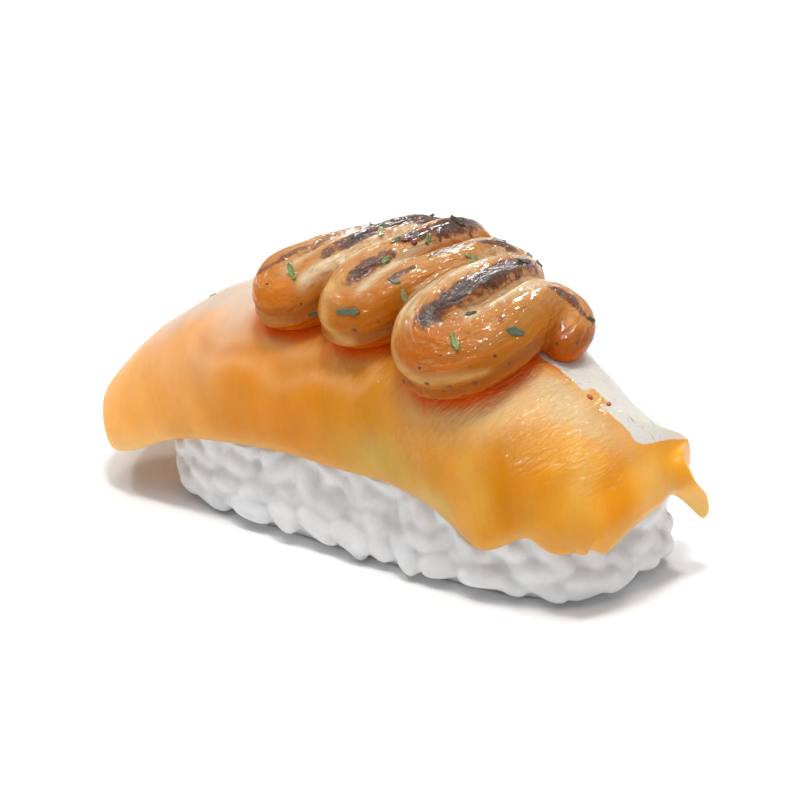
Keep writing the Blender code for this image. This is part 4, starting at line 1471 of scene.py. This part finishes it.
@dataclass
class Studio:
    """A pale table, soft light from above and a camera at the angle of a diner who sits at the front right."""

    azimuth: float = 38.0
    elevation: float = 20.2
    distance: float = 0.320
    target: tuple[float, float, float] = (-0.0018, -0.0019, 0.0154)
    lens: float = 126.86
    floor_size: float = 4.0
    surround: float = 0.38
    # Each lamp: its name, place, width in metres and power in watts.
    lamps: tuple[tuple[str, tuple[float, float, float], float, float], ...] = (
        ("overhead", (-0.05, -0.05, 0.90), 1.2, 3.3),
        ("key", (0.056, -0.090, 0.70), 0.13, 1.9),
        ("spark", (0.14, 0.20, 0.64), 0.08, 0.8),
        ("left spark", (-0.30, -0.12, 0.60), 0.08, 0.7),
        ("back window", (-0.44, 0.56, 0.375), 0.12, 1.6),
    )

    def floor(self) -> None:
        """The table: a wide pale sheet, smooth and matt."""
        bm = bmesh.new()
        bmesh.ops.create_grid(bm, x_segments=1, y_segments=1, size=self.floor_size / 2)
        mesh = bpy.data.meshes.new("table")
        bm.to_mesh(mesh)
        bm.free()
        material, tree, shader = new_material("pale_table")
        grain = pattern(tree, add_node(tree, "TexCoord").outputs["Object"], 4 * MM)
        tree.links.new(blend(tree, grain, linear("#F6F6F6"), linear("#FAFAFA")), shader.inputs["Base Color"])
        set_values(shader, Roughness=0.9, Specular_IOR_Level=0.1)
        mesh.materials.append(material)
        table = link_object("table", mesh)

    def lights(self) -> None:
        """An even white surround, a broad soft light overhead and smaller ones for glints on wet surfaces."""
        world = bpy.data.worlds.new("surround")
        bpy.context.scene.world = world
        world.use_nodes = True
        back = world.node_tree.nodes["Background"]
        back.inputs["Color"].default_value = (1, 1, 1, 1)
        back.inputs["Strength"].default_value = self.surround
        for name, place, size, energy in self.lamps:
            light = bpy.data.lights.new(name, "AREA")
            light.shape = "DISK"
            light.size = size
            light.energy = energy
            lamp = bpy.data.objects.new(name, light)
            lamp.location = place
            lamp.rotation_mode = "QUATERNION"
            lamp.rotation_quaternion = (Vector(place) - Vector(self.target)).to_track_quat("Z", "Y")
            bpy.context.scene.collection.objects.link(lamp)

    def camera(self) -> None:
        """The camera, at the photograph's angle and distance."""
        turn, tilt = math.radians(self.azimuth), math.radians(self.elevation)
        back = Vector((math.sin(turn) * math.cos(tilt), -math.cos(turn) * math.cos(tilt), math.sin(tilt)))
        data = bpy.data.cameras.new("camera")
        data.lens = self.lens
        data.sensor_width = 36
        data.clip_start = 0.01
        camera = bpy.data.objects.new("camera", data)
        camera.location = Vector(self.target) + back * self.distance
        camera.rotation_mode = "QUATERNION"
        camera.rotation_quaternion = (-back).to_track_quat("-Z", "Y")
        bpy.context.scene.collection.objects.link(camera)
        bpy.context.scene.camera = camera

    def build(self) -> None:
        """Sets up table, lights and camera, with colours shown as they are."""
        bpy.context.scene.view_settings.view_transform = "Standard"
        self.floor()
        self.lights()
        self.camera()


def surface_of(*objects: bpy.types.Object) -> BVHTree:
    """A search tree over several meshes at the origin."""
    bm = bmesh.new()
    for obj in objects:
        bm.from_mesh(obj.data)
    tree = BVHTree.FromBMesh(bm)
    bm.free()
    return tree


def main() -> None:
    """Builds the nigiri piece by piece, then the studio."""
    drape = Drape()
    piping = PipedSauce(drape)
    sauce = piping.build()
    piping.dress(sauce)
    slicing = SalmonSlice(drape)
    salmon = slicing.build(surface_of(sauce))
    slicing.dress(salmon)
    block = RiceBlock(drape)
    rice = block.build()
    block.dress(rice)
    top = surface_of(sauce, salmon)
    herbs = HerbFlakes(drape)
    flakes = herbs.build(top)
    herbs.dress(flakes)
    chili = ChiliSpecks(drape)
    specks = chili.build(top)
    chili.dress(specks)
    Studio().build()
    for piece in (rice, salmon, sauce, flakes, specks):
        piece.data.calc_loop_triangles()
        log.info("%s: %d triangles", piece.name, len(piece.data.loop_triangles))


if __name__ == "__main__":
    main()
